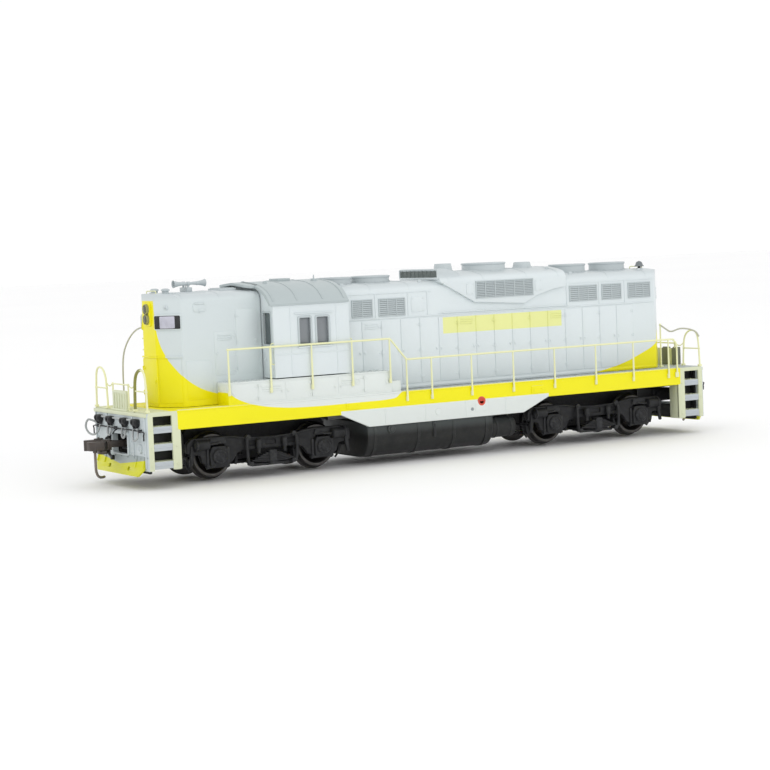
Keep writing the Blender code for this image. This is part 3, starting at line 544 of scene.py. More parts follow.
def hood_layers(g, base):
    """Silver hood, lemon flare at both ends, pale band on the long hood; the roof is painted greyer and the short hood
    a darker silver, both painted shade.
    """
    x, y, z = g.xyz()
    front = g.curve(around(g, 77.4, 4.0), 50.0, 92.0, [(50, 19.0), (60, 20.5), (66, 21.8), (71.5, 23.4), (74.4, 24.9), (77.2, 27.0), (80.0, 29.7), (82.9, 33.3), (84.6, 37.2), (85.3, 41.0), (85.8, 45.5), (86.4, 49.5), (92, 50.0)], 18.0, 50.0)
    rear = g.curve(around(g, 79.6, 8.0), 50.0, 92.0, [(50, 18.6), (58.3, 19.7), (65.8, 21.2), (73.5, 23.8), (79.3, 26.6), (82.0, 29.8), (84.8, 34.5), (86.8, 39.5), (88.2, 44.6), (92, 49.0)], 18.0, 50.0)
    is_front = g.remap(x, -1.0, 1.0, 0.0, 1.0)
    edge = g.math("ADD", g.math("MULTIPLY", front, is_front), g.math("MULTIPLY", rear, g.math("SUBTRACT", 1.0, is_front)))
    flare = g.remap(g.math("SUBTRACT", edge, z), -0.06, 0.06, 0.0, 1.0)
    flare = g.math("MULTIPLY", flare, g.remap(z, 47.4, 47.6, 1.0, 0.0))
    band = g.math("MULTIPLY", g.band(x, -44.8, -3.6), g.band(z, 34.0, 38.6))
    # the short hood (x over 52) gets a darker silver: painted shade
    shell = g.mix(g.remap(x, 50.0, 52.0, 0.0, 1.0), base, S(207, 216, 217))
    # above z 47 the roof tone takes over: painted shade on the top
    colour = g.mix(g.remap(z, 47.0, 49.0, 0.0, 1.0, True), shell, ROOF_PAINTED_SHADE)
    colour = g.mix(band, colour, PALE_BAND)
    return g.mix(flare, colour, YELLOW)


def plow_layers(g, base):
    """Lemon plow under a grey upper strip that narrows outward; the strip is the pilot's grey paint, painted darker as
    painted shade under the pilot.
    """
    x, y, z = g.xyz()
    edge = g.math("ADD", g.math("MULTIPLY", g.math("ABSOLUTE", y), 0.11), 5.0)
    return g.mix(g.remap(g.math("SUBTRACT", z, edge), -0.05, 0.05, 0.0, 1.0), base, S(160, 170, 170))


def deck_layers(g, base):
    """Grey walkway that turns lemon beside the front hood and pale at the front platform."""
    x, y, z = g.xyz()
    low = g.remap(z, 20.2, 20.6, 1.0, 0.0)
    colour = g.mix(g.math("MULTIPLY", g.remap(x, 61.8, 62.2, 0.0, 1.0), low), base, YELLOW)
    return g.mix(g.remap(x, 84.9, 85.3, 0.0, 1.0), colour, S(216, 219, 178))


def sill_layers(g, base):
    """Sills and battery boxes: lemon stripe and flare, white skirt between the trucks."""
    x, y, z = g.xyz()
    ax = g.math("ABSOLUTE", x)
    top = g.curve(x, -92.0, 92.0, [(-92, 33.0), (-84, 30.0), (-79.3, 26.1), (-73.5, 23.8), (-65.8, 21.2), (-58.3, 19.9), (-52, 19.4), (0, 19.4), (14, 19.4), (17.5, 17.5), (30, 17.2), (47.9, 17.3), (54, 17.8), (59.0, 18.6), (64.4, 20.3), (68.6, 22.9), (73.8, 25.3), (80.0, 28.6), (84.0, 32.7), (92, 36)], 14.0, 36.5)
    stripe = g.remap(g.math("SUBTRACT", top, z), -0.05, 0.05, 0.0, 1.0)
    low = g.math("MULTIPLY", g.remap(z, 15.05, 15.15, 1.0, 0.0), g.remap(ax, 34.3, 34.5, 1.0, 0.0))
    stripe = g.math("MULTIPLY", stripe, g.math("SUBTRACT", 1.0, low))
    flat = g.new("ShaderNodeNewGeometry")
    up = g.new("ShaderNodeSeparateXYZ")
    g.nt.links.new(flat.outputs["Normal"], up.inputs[0])
    stripe = g.math("MULTIPLY", stripe, g.remap(up.outputs[2], 0.75, 0.9, 1.0, 0.0))
    return g.mix(stripe, base, YELLOW)


M_BODY = painted("body_paint", SILVER, 0.36, hood_layers, tint=0.025, dust=((0.45, 0.44, 0.40), 19.0, 26.0, 0.04))
M_PLAIN = painted("body_paint_plain", SILVER, 0.36, tint=0.025)
# Cab roof: the silver painted greyer, painted shade on the top.
M_ROOF_SHADED = painted("cab_roof_painted_shade", S(179, 189, 190), 0.45, tint=0.03)
M_SILL = painted("sill_paint", WHITE, 0.36, sill_layers, tint=0.025, dust=((0.42, 0.41, 0.38), 10.0, 16.0, 0.05))
M_YELLOW = painted("yellow_paint", YELLOW, 0.36, tint=0.03, dust=((0.40, 0.38, 0.30), 2.0, 12.0, 0.06))
M_PLOW = painted("plow_paint", S(216, 216, 24), 0.36, plow_layers, tint=0.03, dust=((0.35, 0.34, 0.28), 1.0, 8.0, 0.12))
M_DECK = painted("deck_paint", S(176, 184, 184), 0.5, deck_layers, tint=0.04, dust=((0.30, 0.29, 0.27), 18.0, 21.0, 0.12))
M_PILOT = painted("pilot_paint", S(197, 206, 208), 0.45, tint=0.04, dust=((0.22, 0.21, 0.20), 2.0, 14.0, 0.2))
M_STEP = painted("step_paint", S(212, 217, 186), 0.42, tint=0.03, dust=((0.30, 0.29, 0.26), 2.0, 14.0, 0.12))
# Tread lips and cleats: a darker blue-grey copy of the step paint, painted shade on the tread fronts.
M_LIP_SHADED = painted("tread_lip_painted_shade", S(184, 191, 196), 0.45, tint=0.03, dust=((0.30, 0.29, 0.26), 2.0, 14.0, 0.15))
M_GREY = painted("louvre_grey", S(186, 195, 197), 0.48, tint=0.03)
M_GREYD = painted("louvre_shadow_grey", S(146, 154, 157), 0.6, tint=0.03)
M_RAIL = painted("railing_paint", S(231, 232, 186), 0.42, tint=0.03)
M_WIRE = painted("hold_wire_paint", S(188, 188, 170), 0.42, tint=0.04)
# A dark olive copy of the railing's pale yellow: painted shade on one inner end-rail post.
M_RAIL_SHADE = moulded("railing_post_painted_shade", S(112, 112, 44), 0.45, sheen=S(150, 150, 80), edge_wear_and_highlight=0.2, texture=0.2, dust=0.1)
M_BLACK = moulded("underframe_plastic", (0.008, 0.0083, 0.0095), 0.45, sheen=(0.020, 0.021, 0.024), edge_wear_and_highlight=0.25, texture=0.5, spec=0.22, dust=0.14)
# Tank plastic turns paler from z 6.8 to 9.6: painted reflection on its upper side.
M_TANK = moulded("tank_plastic", (0.009, 0.0095, 0.0095), 0.40, sheen=(0.022, 0.023, 0.023), edge_wear_and_highlight=0.2, texture=0.35, spec=0.25, dust=0.10, lit_top=(6.8, 9.6, S(74, 79, 79)))
M_RUBBER = moulded("hose_rubber", (0.018, 0.018, 0.019), 0.6, sheen=(0.05, 0.05, 0.05), edge_wear_and_highlight=0.15, texture=0.4, spec=0.35, dust=0.25)
M_HOSE = moulded("hose_grey", S(136, 140, 140), 0.5, sheen=S(190, 192, 192), edge_wear_and_highlight=0.2, texture=0.3, dust=0.1)
# Near-black for dark parts, also put in recesses (step-well backs, fan pits, stack bores) as painted shade.
M_DARK = moulded("dark_parts_and_recess_shade", (0.012, 0.013, 0.014), 0.7, sheen=(0.03, 0.03, 0.03), edge_wear_and_highlight=0.1, texture=0.3, dust=0.1)
# Dark grey for the intake mesh and the plate behind it; the plate is painted shade of the opening.
M_SLOT = moulded("intake_mesh_and_painted_shade", S(84, 92, 90), 0.6, sheen=S(120, 126, 124), edge_wear_and_highlight=0.2, texture=0.3, dust=0.1)
M_BOARDPANEL = moulded("number_board_inlay", S(168, 168, 180), 0.3, sheen=S(190, 190, 200), edge_wear_and_highlight=0.1, texture=0.1, dust=0.05)
M_RED = moulded("marker_red", S(176, 52, 34), 0.4, sheen=S(210, 120, 90), edge_wear_and_highlight=0.2, texture=0.2, dust=0.05)
M_COUPLER = metal("coupler_metal", (0.085, 0.075, 0.07), 0.42, tarnish=(0.13, 0.08, 0.055), amount=0.4, cast=0.5)
M_TYRE = metal("wheel_tyre", (0.085, 0.082, 0.08), 0.36, turned=(1.0, 40.0, 1.0), tarnish=(0.05, 0.043, 0.038), amount=0.35)
M_WHEEL = metal("wheel_face", (0.035, 0.033, 0.032), 0.45, turned=(1.0, 30.0, 1.0), tarnish=(0.10, 0.07, 0.05), amount=0.4, cast=0.2)
M_BRASS = metal("turned_brass", (0.75, 0.55, 0.24), 0.24, turned=(30.0, 1.0, 1.0), tarnish=(0.40, 0.25, 0.11), amount=0.35)
M_COPPER = metal("copper_winding", (0.62, 0.26, 0.11), 0.32, turned=(1.0, 20.0, 20.0), tarnish=(0.25, 0.10, 0.05), amount=0.4)
M_STEEL = metal("bright_steel", (0.60, 0.60, 0.60), 0.28, turned=(20.0, 1.0, 1.0), tarnish=(0.30, 0.27, 0.24), amount=0.25)
M_CAST = metal("die_casting", (0.20, 0.20, 0.21), 0.48, tarnish=(0.15, 0.15, 0.155), amount=0.5, cast=0.8)

def acetal():
    g = Graph("gear_acetal")
    c = g.mix(g.remap(g.noise(200.0, 3.0, 0.5), 0.3, 0.7, 0.0, 1.0), S(232, 228, 212), S(216, 210, 190))
    c = g.mix(g.math("MULTIPLY", g.remap(g.noise(1400.0, 4.0, 0.7), 0.5, 0.7, 0.0, 1.0), 0.25), c, S(120, 110, 90))
    g.sockets(Base_Color=c, Roughness=g.remap(g.noise(500.0), 0.3, 0.7, 0.32, 0.5), Normal=g.bump(g.noise(2600.0), 0.2, 0.00002))
    g.sockets(Subsurface_Weight=0.15, Subsurface_Scale=0.0008)
    return g.mat


def board():
    g = Graph("circuit_board_finish")
    x, y, z = g.xyz()
    track = g.math("GREATER_THAN", g.math("SINE", g.math("MULTIPLY", y, 3.6)), 0.55)
    cut = g.math("GREATER_THAN", g.noise(180.0, 1.0, 0.3, g.stretch(1.0, 0.2, 1.0)), 0.48)
    c = g.mix(g.math("MULTIPLY", track, cut), S(18, 92, 48), S(60, 140, 84))
    pad = g.math("LESS_THAN", g.cells(330.0), 0.16)
    c = g.mix(pad, c, S(206, 196, 160))
    part = g.remap(z, 32.35, 32.45, 0.0, 1.0)
    c = g.mix(part, c, S(34, 34, 36))
    g.sockets(Base_Color=c, Roughness=g.remap(g.noise(700.0), 0.3, 0.7, 0.3, 0.45), Normal=g.bump(track, 0.3, 0.00003))
    return g.mat


def glazing(name, base, trans):
    g = Graph(name)
    smear = g.noise(260.0, 4.0, 0.6)
    c = g.mix(g.remap(smear, 0.4, 0.7, 0.0, 0.3), base, tuple(min(1.0, v * 1.3 + 0.02) for v in base))
    g.sockets(Base_Color=c, Roughness=g.remap(smear, 0.3, 0.75, 0.03, 0.12), Normal=g.bump(g.noise(180.0, 1.0), 0.05, 0.00005))
    g.sockets(Transmission_Weight=trans, IOR=1.49, Specular_IOR_Level=0.6)
    return g.mat


M_ACETAL, M_BOARD = acetal(), board()
M_GLASS = glazing("window_glazing", S(134, 139, 143), 0.12)
# End panes: a darker copy of the side glazing, painted shade.
M_GLASS_END = glazing("end_window_glazing_painted_shade", S(92, 102, 104), 0.12)
M_LENS = glazing("lamp_lens", S(96, 100, 78), 0.35)


# ================================================================== small fittings
def door(sh, x0, x1, z0, z1, t, y=HOOD_Y, mat=0, hinge=-1, latch=True, slits=0, rise=0.16):
    """A hinged door on a side wall: raised leaf, hinge barrels, a turn latch with its handle."""
    rect = [(x0, z0), (x1, z0), (x1, z1), (x0, z1)]
    sh.prism("y", fillet(rect, 0.35, 3), t * (y - 0.25), t * (y + rise), mat, 0.06, 2)
    hx = x0 if hinge < 0 else x1
    inset = 0.18 if hinge < 0 else -0.18
    h = z1 - z0
    for f in ((0.14, 0.86) if h < 9 else (0.1, 0.5, 0.9)):
        zc = z0 + f * h
        sh.rod("z", hx + inset * 0.2, t * (y + rise + 0.02), 0.17, zc - 0.42, zc + 0.42, mat, 8)
        sh.box(hx + inset * 0.2, hx + inset * 4.2, t * (y + rise - 0.04), t * (y + rise + 0.07), zc - 0.2, zc + 0.2, mat, 0.03, 1)
    if latch:
        lx = x1 - 0.62 if hinge < 0 else x0 + 0.62
        zc = z0 + 0.52 * h
        sh.lathe("y", lx, zc, [(t * (y + rise - 0.05), 0.36), (t * (y + rise + 0.10), 0.36), (t * (y + rise + 0.15), 0.26), (t * (y + rise + 0.15), 0.0)], mat, 14)
        sh.box(lx - 0.09, lx + 0.09, t * (y + rise + 0.08), t * (y + rise + 0.22), zc - 0.62, zc + 0.12, mat, 0.04, 1)
    for k in range(slits):
        zc = z1 - 0.9 - 0.62 * k
        prof = [(t * (y + rise - 0.04), zc - 0.16), (t * (y + rise + 0.16), zc - 0.16), (t * (y + rise + 0.03), zc + 0.18), (t * (y + rise - 0.04), zc + 0.18)]
        sh.prism("x", prof, x0 + 0.9, x1 - 0.9, mat, 0.02, 1)


def louvre(sh, x0, x1, z0, z1, t, y, frame_mat=0, slat_mat=1, back_mat=2, pitch=0.56, bars=0, rise=0.28):
    """A framed set of sloping slats standing in front of a shadowed recess."""
    sh.box(x0 + 0.1, x1 - 0.1, t * (y - 0.2), t * (y + 0.03), z0 + 0.1, z1 - 0.1, back_mat, 0.0)
    b = 0.32
    for a in ((x0, x1, z0, z0 + b), (x0, x1, z1 - b, z1), (x0, x0 + b, z0 + b * 0.5, z1 - b * 0.5), (x1 - b, x1, z0 + b * 0.5, z1 - b * 0.5)):
        sh.box(a[0], a[1], t * (y - 0.1), t * (y + rise), a[2], a[3], frame_mat, 0.06, 2)
    n = max(3, int(round((z1 - z0 - 2 * b) / pitch)))
    step = (z1 - z0 - 2 * b) / n
    for k in range(n):
        z = z0 + b + step * (k + 0.5)
        prof = [(t * (y + 0.02), z + step * 0.42), (t * (y + rise - 0.05), z - step * 0.14), (t * (y + rise - 0.05), z - step * 0.30), (t * (y + 0.02), z + step * 0.16)]
        sh.prism("x", prof, x0 + b * 0.6, x1 - b * 0.6, slat_mat)
    for k in range(bars):
        xc = x0 + (x1 - x0) * (k + 1) / (bars + 1)
        sh.box(xc - 0.13, xc + 0.13, t * (y - 0.05), t * (y + rise - 0.02), z0 + b * 0.5, z1 - b * 0.5, frame_mat, 0.04, 1)


def grab(sh, a, b, out, r=0.17, mat=0, n=8):
    """A bent-wire grab iron from a to b standing off its wall by the vector out."""
    a, b, out = Vector(a), Vector(b), Vector(out)
    d = (b - a).normalized() * min(0.45, out.length)
    pts = [a - out * 0.35, a + out * 0.45, a + out * 0.85 + d * 0.25, a + out + d, b + out - d, b + out * 0.85 - d * 0.25, b + out * 0.45, b - out * 0.35]
    sh.tube([tuple(p) for p in pts], r, mat, n)


def rivets(sh, points, axis, out, r=0.11, mat=0):
    for u, v, w in points:
        sh.lathe(axis, u, v, [(w - out * 0.05, r), (w + out * r * 0.45, r * 0.72), (w + out * r * 0.62, 0.0)], mat, 6)


# ================================================================== hoods
HOOD_SIDE = curve_through([(HOOD_Y, HOOD_EAVE_Z), (10.25, 47.75), (9.5, 48.45), (8.2, 48.95), (4.2, 49.3), (0.0, HOOD_TOP_Z)], 5)


def hood_profile(z0, grow=0.0):
    right = [((y + grow) if y > 0.01 else 0.0, z + grow) for y, z in HOOD_SIDE]
    return [(HOOD_Y + grow, z0)] + right + [(-y, z) for y, z in reversed(right[:-1])] + [(-HOOD_Y - grow, z0)]


def hood_plan(x_open, end_x, grow=0.0, r=0.9):
    s = 1.0 if end_x > 0 else -1.0
    back, flat = (4.8, 4.0) if s > 0 else (2.6, 8.0)
    e, c = end_x + s * grow, end_x - s * (back - grow * 0.45)
    pts = [(x_open, -HOOD_Y - grow), (c, -HOOD_Y - grow), (e, -flat - grow * 0.4), (e, flat + grow * 0.4), (c, HOOD_Y + grow), (x_open, HOOD_Y + grow)]
    return fillet(pts, r, 5)


def hood_solid(x_open, end_x):
    s = 1.0 if end_x > 0 else -1.0
    outer = boolean(raw(bm_prism("x", hood_profile(DECK_Z + 0.1), x_open, end_x + s)), "INTERSECT", raw(bm_prism("z", hood_plan(x_open - 2 * s, end_x), 10.0, 60.0)))
    room = [(-9.4, 10.0), (9.4, 10.0), (9.4, 46.6), (8.0, 47.7), (-8.0, 47.7), (-9.4, 46.6)]
    inner = raw(bm_prism("x", room, *sorted((x_open - s * 2, end_x - s * 6.0))))
    return boolean(outer, "DIFFERENCE", inner)


def bevel_point(s, f, t, off=0.0):
    """A point on the board face of a hood end; f runs 0..1 outward. In front it is the slanted corner, behind it is the end face."""
    if s < 0:
        return -(HOOD_END_X + off), t * (2.3 + 5.4 * f)
    return HOOD_END_X - 4.8 * f + 6.5 / 8.08 * off, t * (4.0 + 6.5 * f + 4.8 / 8.08 * off)


def corner_panel(sh, s, t, f0, f1, z0, z1, depth, mat, r=0.3, bevel=0.06, base=-0.2):
    """A plate on a slanted corner face, built in the plane of that face."""
    (ax, ay), (bx, by) = bevel_point(s, f0, t), bevel_point(s, f1, t)
    length = math.hypot(bx - ax, by - ay)
    ux, uy = (bx - ax) / length, (by - ay) / length
    (cx, cy) = bevel_point(s, f0, t, 1.0)
    nx, ny = cx - ax, cy - ay
    bm = bmesh.new()
    pts = fillet([(0, z0), (length, z0), (length, z1), (0, z1)], r, 3)
    lo = [bm.verts.new(P(ax + ux * u + nx * base, ay + uy * u + ny * base, z)) for u, z in pts]
    hi = [bm.verts.new(P(ax + ux * u + nx * depth, ay + uy * u + ny * depth, z)) for u, z in pts]
    bm.faces.new(lo)
    bm.faces.new(hi)
    for i in range(len(pts)):
        j = (i + 1) % len(pts)
        bm.faces.new((lo[i], lo[j], hi[j], hi[i]))
    sh.put(bm, mat, bevel, 2)


def end_fittings(sh, s):
    """Number boards, class lamps, grab irons, the end door and its seams."""
    for t in (1, -1):
        corner_panel(sh, s, t, 0.0, 1.0, 39.7, 43.9, 0.40, 0, 0.5, 0.12)
        corner_panel(sh, s, t, 0.02, 0.98, 40.0, 43.5, 0.48, 2, 0.3, 0.05)
        corner_panel(sh, s, t, 0.22, 0.78, 40.15, 43.35, 0.56, 3, 0.25, 0.05)
        # class lamp above the board
        x, y = bevel_point(s, 0.45, t, 0.0)
        sh.ball(x, y, 45.6, 0.62, 0, 14)
        x, y = bevel_point(s, 0.45, t, 0.36)
        sh.ball(x, y, 45.6, 0.42, 1, 12)
    e = HOOD_END_X
    # lower access panel, its upper seam, the end door with hinges and latch
    sh.prism("x", fillet([(-4.4, 20.2), (4.4, 20.2), (4.4, 32.2), (-4.4, 32.2)], 0.4, 3), s * (e - 0.2), s * (e + 0.16), 0, 0.06)
    sh.prism("x", [(-4.6, 32.35), (4.6, 32.35), (4.6, 32.75), (-4.6, 32.75)], s * (e - 0.2), s * (e + 0.3), 0, 0.08)
    for t in (1, -1):
        corner_panel(sh, s, t, 0.0, 1.0, 32.35, 32.75, 0.26, 0, 0.1, 0.08)
        corner_panel(sh, s, t, 0.46 if s < 0 else 0.10, 0.92, 20.3, 31.9, 0.12, 0, 0.3, 0.05)
    for z in (23.0, 29.5):
        sh.rod("z", s * (e + 0.22), -4.35, 0.18, z - 0.6, z + 0.6, 0, 8)
        sh.box(s * (e + 0.1), s * (e + 0.26), -4.3, -3.2, z - 0.22, z + 0.22, 0, 0.04, 1)
    sh.lathe("x", 3.5, 26.2, [(s * (e + 0.1), 0.4), (s * (e + 0.3), 0.4), (s * (e + 0.36), 0.28), (s * (e + 0.36), 0.0)], 0, 14)
    sh.box(s * (e + 0.3), s * (e + 0.45), 3.4, 3.6, 25.4, 26.4, 0, 0.04, 1)
    # headlight housing
    sh.prism("x", fillet([(-2.0, 40.7), (2.0, 40.7), (2.0, 47.1), (-2.0, 47.1)], 1.0, 6), s * (e - 0.3), s * (e + 0.34), 0, 0.12)
    # ladder of grab irons up one corner, a single one over the number board
    for k in range(6):
        z = 22.3 + 3.0 * k
        a = (*bevel_point(s, 0.5 if s < 0 else 0.30, -1), z)
        b = (*bevel_point(s, 0.95 if s < 0 else 0.78, -1), z)
        n = (bevel_point(s, 0.3, -1, 1.0)[0] - bevel_point(s, 0.3, -1)[0], bevel_point(s, 0.3, -1, 1.0)[1] - bevel_point(s, 0.3, -1)[1], 0)
        if z < 39.5:
            grab(sh, a, b, tuple(0.85 * c for c in n), 0.16, 4)
    grab(sh, (s * (e - 1.2), -3.0, 49.3), (s * (e - 1.2), 3.0, 49.3), (0, 0, 0.75), 0.16, 4)
    # lifting eyes on the roof
    for y in (-6.4, 6.4):
        sh.lathe("z", s * (e - 4.0), y, [(48.8, 0.55), (49.45, 0.55), (49.6, 0.4), (49.6, 0.0)], 0, 14)


def long_hood():
    sh = Shape()
    sh.put(to_bm(hood_solid(CAB_X0 - 0.3, -HOOD_END_X), 0.4, 4))
    xs = [29.3 - 6.28 * k for k in range(17)]
    for t in (1, -1):
        for k, (xb, xa) in enumerate(zip(xs, xs[1:])):
            mid = (xa + xb) / 2
            top = 38.9
            if -50 < mid < 0:
                top = 38.75
            door(sh, xa + 0.16, xb - 0.16, 20.7, top, t, hinge=-1 if k % 2 else 1, slits=3 if k in (1, 6, 11) else 0)
        # a batten over the doors, broken by the roof hatch, and the gutter under the roof curve
        sh.box(-79.2, 29.6, t * (HOOD_Y - 0.2), t * (HOOD_Y + 0.24), 39.25, 39.55, 0, 0.07)
        sh.box(-79.3, 29.8, t * (HOOD_Y - 0.2), t * (HOOD_Y + 0.14), 19.6, 20.2, 0, 0.05)
        sh.box(-79.2, -48.2, t * (HOOD_Y - 0.2), t * (HOOD_Y + 0.16), 46.2, 46.45, 0, 0.05)
        sh.box(0.0, 29.6, t * (HOOD_Y - 0.2), t * (HOOD_Y + 0.16), 46.2, 46.45, 0, 0.05)
        # upright battens between the upper panels
        for x in (28.6, 18.25, 7.6, 1.2, -47.1, -58.9, -68.4):
            sh.box(x - 0.17, x + 0.17, t * (HOOD_Y - 0.2), t * (HOOD_Y + 0.18), 39.5, 46.3, 0, 0.05, 1)
        # a small blank panel with its bolts beside the front louvres
        sh.prism("y", fillet([(2.2, 40.6), (6.6, 40.6), (6.6, 44.9), (2.2, 44.9)], 0.4, 3), t * (HOOD_Y - 0.2), t * (HOOD_Y + 0.15), 0, 0.06)
        for x in (2.7, 6.1):
            for z in (41.1, 44.4):
                sh.bolt("y", x, z, t * (HOOD_Y + 0.15), t, 0.2, 0.14)
        rivets(sh, [(x * 1.0, 45.75, t * HOOD_Y) for x in range(-76, -48, 2)] + [(x * 1.0, 45.75, t * HOOD_Y) for x in range(2, 29, 2)], "y", t)
        # long grab rail on the hood side
        for x in (-4, -18, -32, -46):
            sh.tube([(x, t * (HOOD_Y - 0.2), 39.9), (x, t * (HOOD_Y + 0.5), 39.9)], 0.13, 0, 8)
            sh.ball(x, t * (HOOD_Y + 0.55), 39.9, 0.2, 0, 10)
        sh.tube([(-47.5, t * (HOOD_Y + 0.55), 39.9), (-2.5, t * (HOOD_Y + 0.55), 39.9)], 0.12, 0, 8)
    end_fittings(sh, -1)
    # roof seams and lifting lugs
    for x in (29.0, 19.6, 7.0, -1.6, -47.4, -62.4, -76.6):
        prof = [(y * 1.002, z + 0.10) for y, z in HOOD_SIDE] + [(-y * 1.002, z + 0.10) for y, z in reversed(HOOD_SIDE[:-1])]
        prof = prof + [(y * 0.99, z - 0.2) for y, z in reversed(prof)]
        sh.prism("x", prof, x - 0.16, x + 0.16, 0)
    for x in (2.4, -50.0, -75.4, 27.6):
        for y in (-8.6, 8.6):
            sh.prism("y", fillet([(x - 0.6, 48.6), (x + 0.6, 48.6), (x + 0.45, 49.6), (x - 0.45, 49.6)], 0.3, 3), y - 0.15, y + 0.15, 0, 0.04)
    return piece(sh, "long_hood", [M_BODY, M_GREY, M_DARK, M_BOARDPANEL, M_RAIL], "root", "long_hood_shell")


def short_hood():
    sh = Shape()
    sh.put(to_bm(hood_solid(CAB_X1 + 0.3, HOOD_END_X), 0.4, 4))
    for t in (1, -1):
        door(sh, 55.2, 61.6, 27.0, 44.2, t, hinge=1, rise=0.10)
        door(sh, 62.1, 68.2, 27.0, 38.6, t, hinge=-1, rise=0.10, slits=3)
        sh.prism("y", fillet([(69.2, 21.0), (76.6, 21.0), (76.6, 31.2), (69.2, 31.2)], 0.4, 3), t * (HOOD_Y - 0.2), t * (HOOD_Y + 0.10), 0, 0.05)
        # sand filler hatch with its clamp, high on the side
        sh.prism("y", fillet([(70.3, 44.2), (73.9, 44.2), (73.9, 46.4), (70.3, 46.4)], 0.5, 4), t * (HOOD_Y - 0.2), t * (HOOD_Y + 0.22), 0, 0.08)
        sh.rod("x", t * (HOOD_Y + 0.26), 46.35, 0.2, 70.7, 73.5, 0, 10)
        sh.box(71.9, 72.3, t * (HOOD_Y + 0.1), t * (HOOD_Y + 0.42), 44.0, 45.0, 0, 0.06, 1)
    end_fittings(sh, 1)
    for x in (55.6, 66.0, 76.8):
        prof = [(y * 1.002, z + 0.08) for y, z in HOOD_SIDE] + [(-y * 1.002, z + 0.08) for y, z in reversed(HOOD_SIDE[:-1])]
        prof = prof + [(y * 0.99, z - 0.2) for y, z in reversed(prof)]
        sh.prism("x", prof, x - 0.14, x + 0.14, 0)
    # flue and vent caps on the roof
    for x, y in ((78.4, 3.4), (78.6, -3.2)):
        sh.lathe("z", x, y, [(49.2, 0.9), (50.0, 0.9), (50.0, 1.2), (50.35, 1.15), (50.6, 0.7), (50.65, 0.0)], 1, 20)
    sh.prism("z", fillet([(57.6, -4.0), (62.6, -4.0), (62.6, 4.0), (57.6, 4.0)], 0.6, 4), 49.1, 49.85, 0, 0.15)
    for k in range(6):
        sh.box(58.1 + 0.75 * k, 58.45 + 0.75 * k, -3.3, 3.3, 49.8, 50.0, 1, 0.05, 1)
    return piece(sh, "short_hood", [M_BODY, M_GREY, M_DARK, M_BOARDPANEL, M_RAIL], "root", "short_hood_shell")


def hood_louvres():
    groups = [("front_a", 19.2, 25.9, 39.9, 44.9), ("front_b", 8.6, 17.3, 39.9, 44.9), ("rear_a", -58.1, -48.0, 40.8, 45.5), ("rear_b", -67.1, -59.8, 40.8, 45.5), ("rear_c", -78.0, -69.6, 40.8, 45.5)]
    for name, x0, x1, z0, z1 in groups:
        for t, side in ((1, "left"), (-1, "right")):
            sh = Shape()
            louvre(sh, x0, x1, z0, z1, t, HOOD_Y, 0, 0, 1, bars=2 if x1 - x0 > 8 else 1)
            piece(sh, "louvre_%s_%s" % (name, side), [M_GREY, M_GREYD])


# ================================================================== brake hatch, stacks, fans
def fan_grille(sh, xc, r, z, frame=0, dark=1, blade=2, rings=5, spokes=16):
    """Wire guard over a recessed, twisted-blade fan."""
    for k in range(1, rings + 1):
        rr = r * k / rings
        sh.tube([(xc + rr * math.cos(2 * math.pi * i / 36), rr * math.sin(2 * math.pi * i / 36), z) for i in range(36)], 0.085, frame, 5, closed=True)
    for k in range(spokes):
        a = 2 * math.pi * k / spokes
        sh.tube([(xc + r * 0.16 * math.cos(a), r * 0.16 * math.sin(a), z + 0.06), (xc + r * 1.02 * math.cos(a), r * 1.02 * math.sin(a), z + 0.02)], 0.075, frame, 5)
    sh.lathe("z", xc, 0.0, [(z - 0.3, r * 0.2), (z + 0.02, r * 0.2), (z + 0.12, r * 0.13), (z + 0.14, 0.0)], frame, 20)


def fan_blades(sh, xc, r, z, mat, count=8):
    for k in range(count):
        a = 2 * math.pi * k / count
        bm = bmesh.new()
        rows = []
        for i in range(6):
            f = i / 5
            rad = r * (0.18 + 0.78 * f)
            half = r * (0.16 + 0.10 * f)
            tilt = math.radians(48 - 22 * f)
            row = []
            for sgn, lift in ((-1, 0.05), (1, 0.05), (1, -0.05), (-1, -0.05)):
                off, dz = sgn * half * math.cos(tilt), sgn * half * math.sin(tilt) + lift
                ang = a + math.atan2(off, rad)
                q = math.hypot(rad, off)
                row.append(bm.verts.new(P(xc + q * math.cos(ang), q * math.sin(ang), z + dz * 0.55)))
            rows.append(row)
        for ra, rb in zip(rows, rows[1:]):
            for i in range(4):
                j = (i + 1) % 4
                bm.faces.new((ra[i], ra[j], rb[j], rb[i]))
        bm.faces.new(rows[0])
        bm.faces.new(rows[-1])
        sh.put(bm, mat)


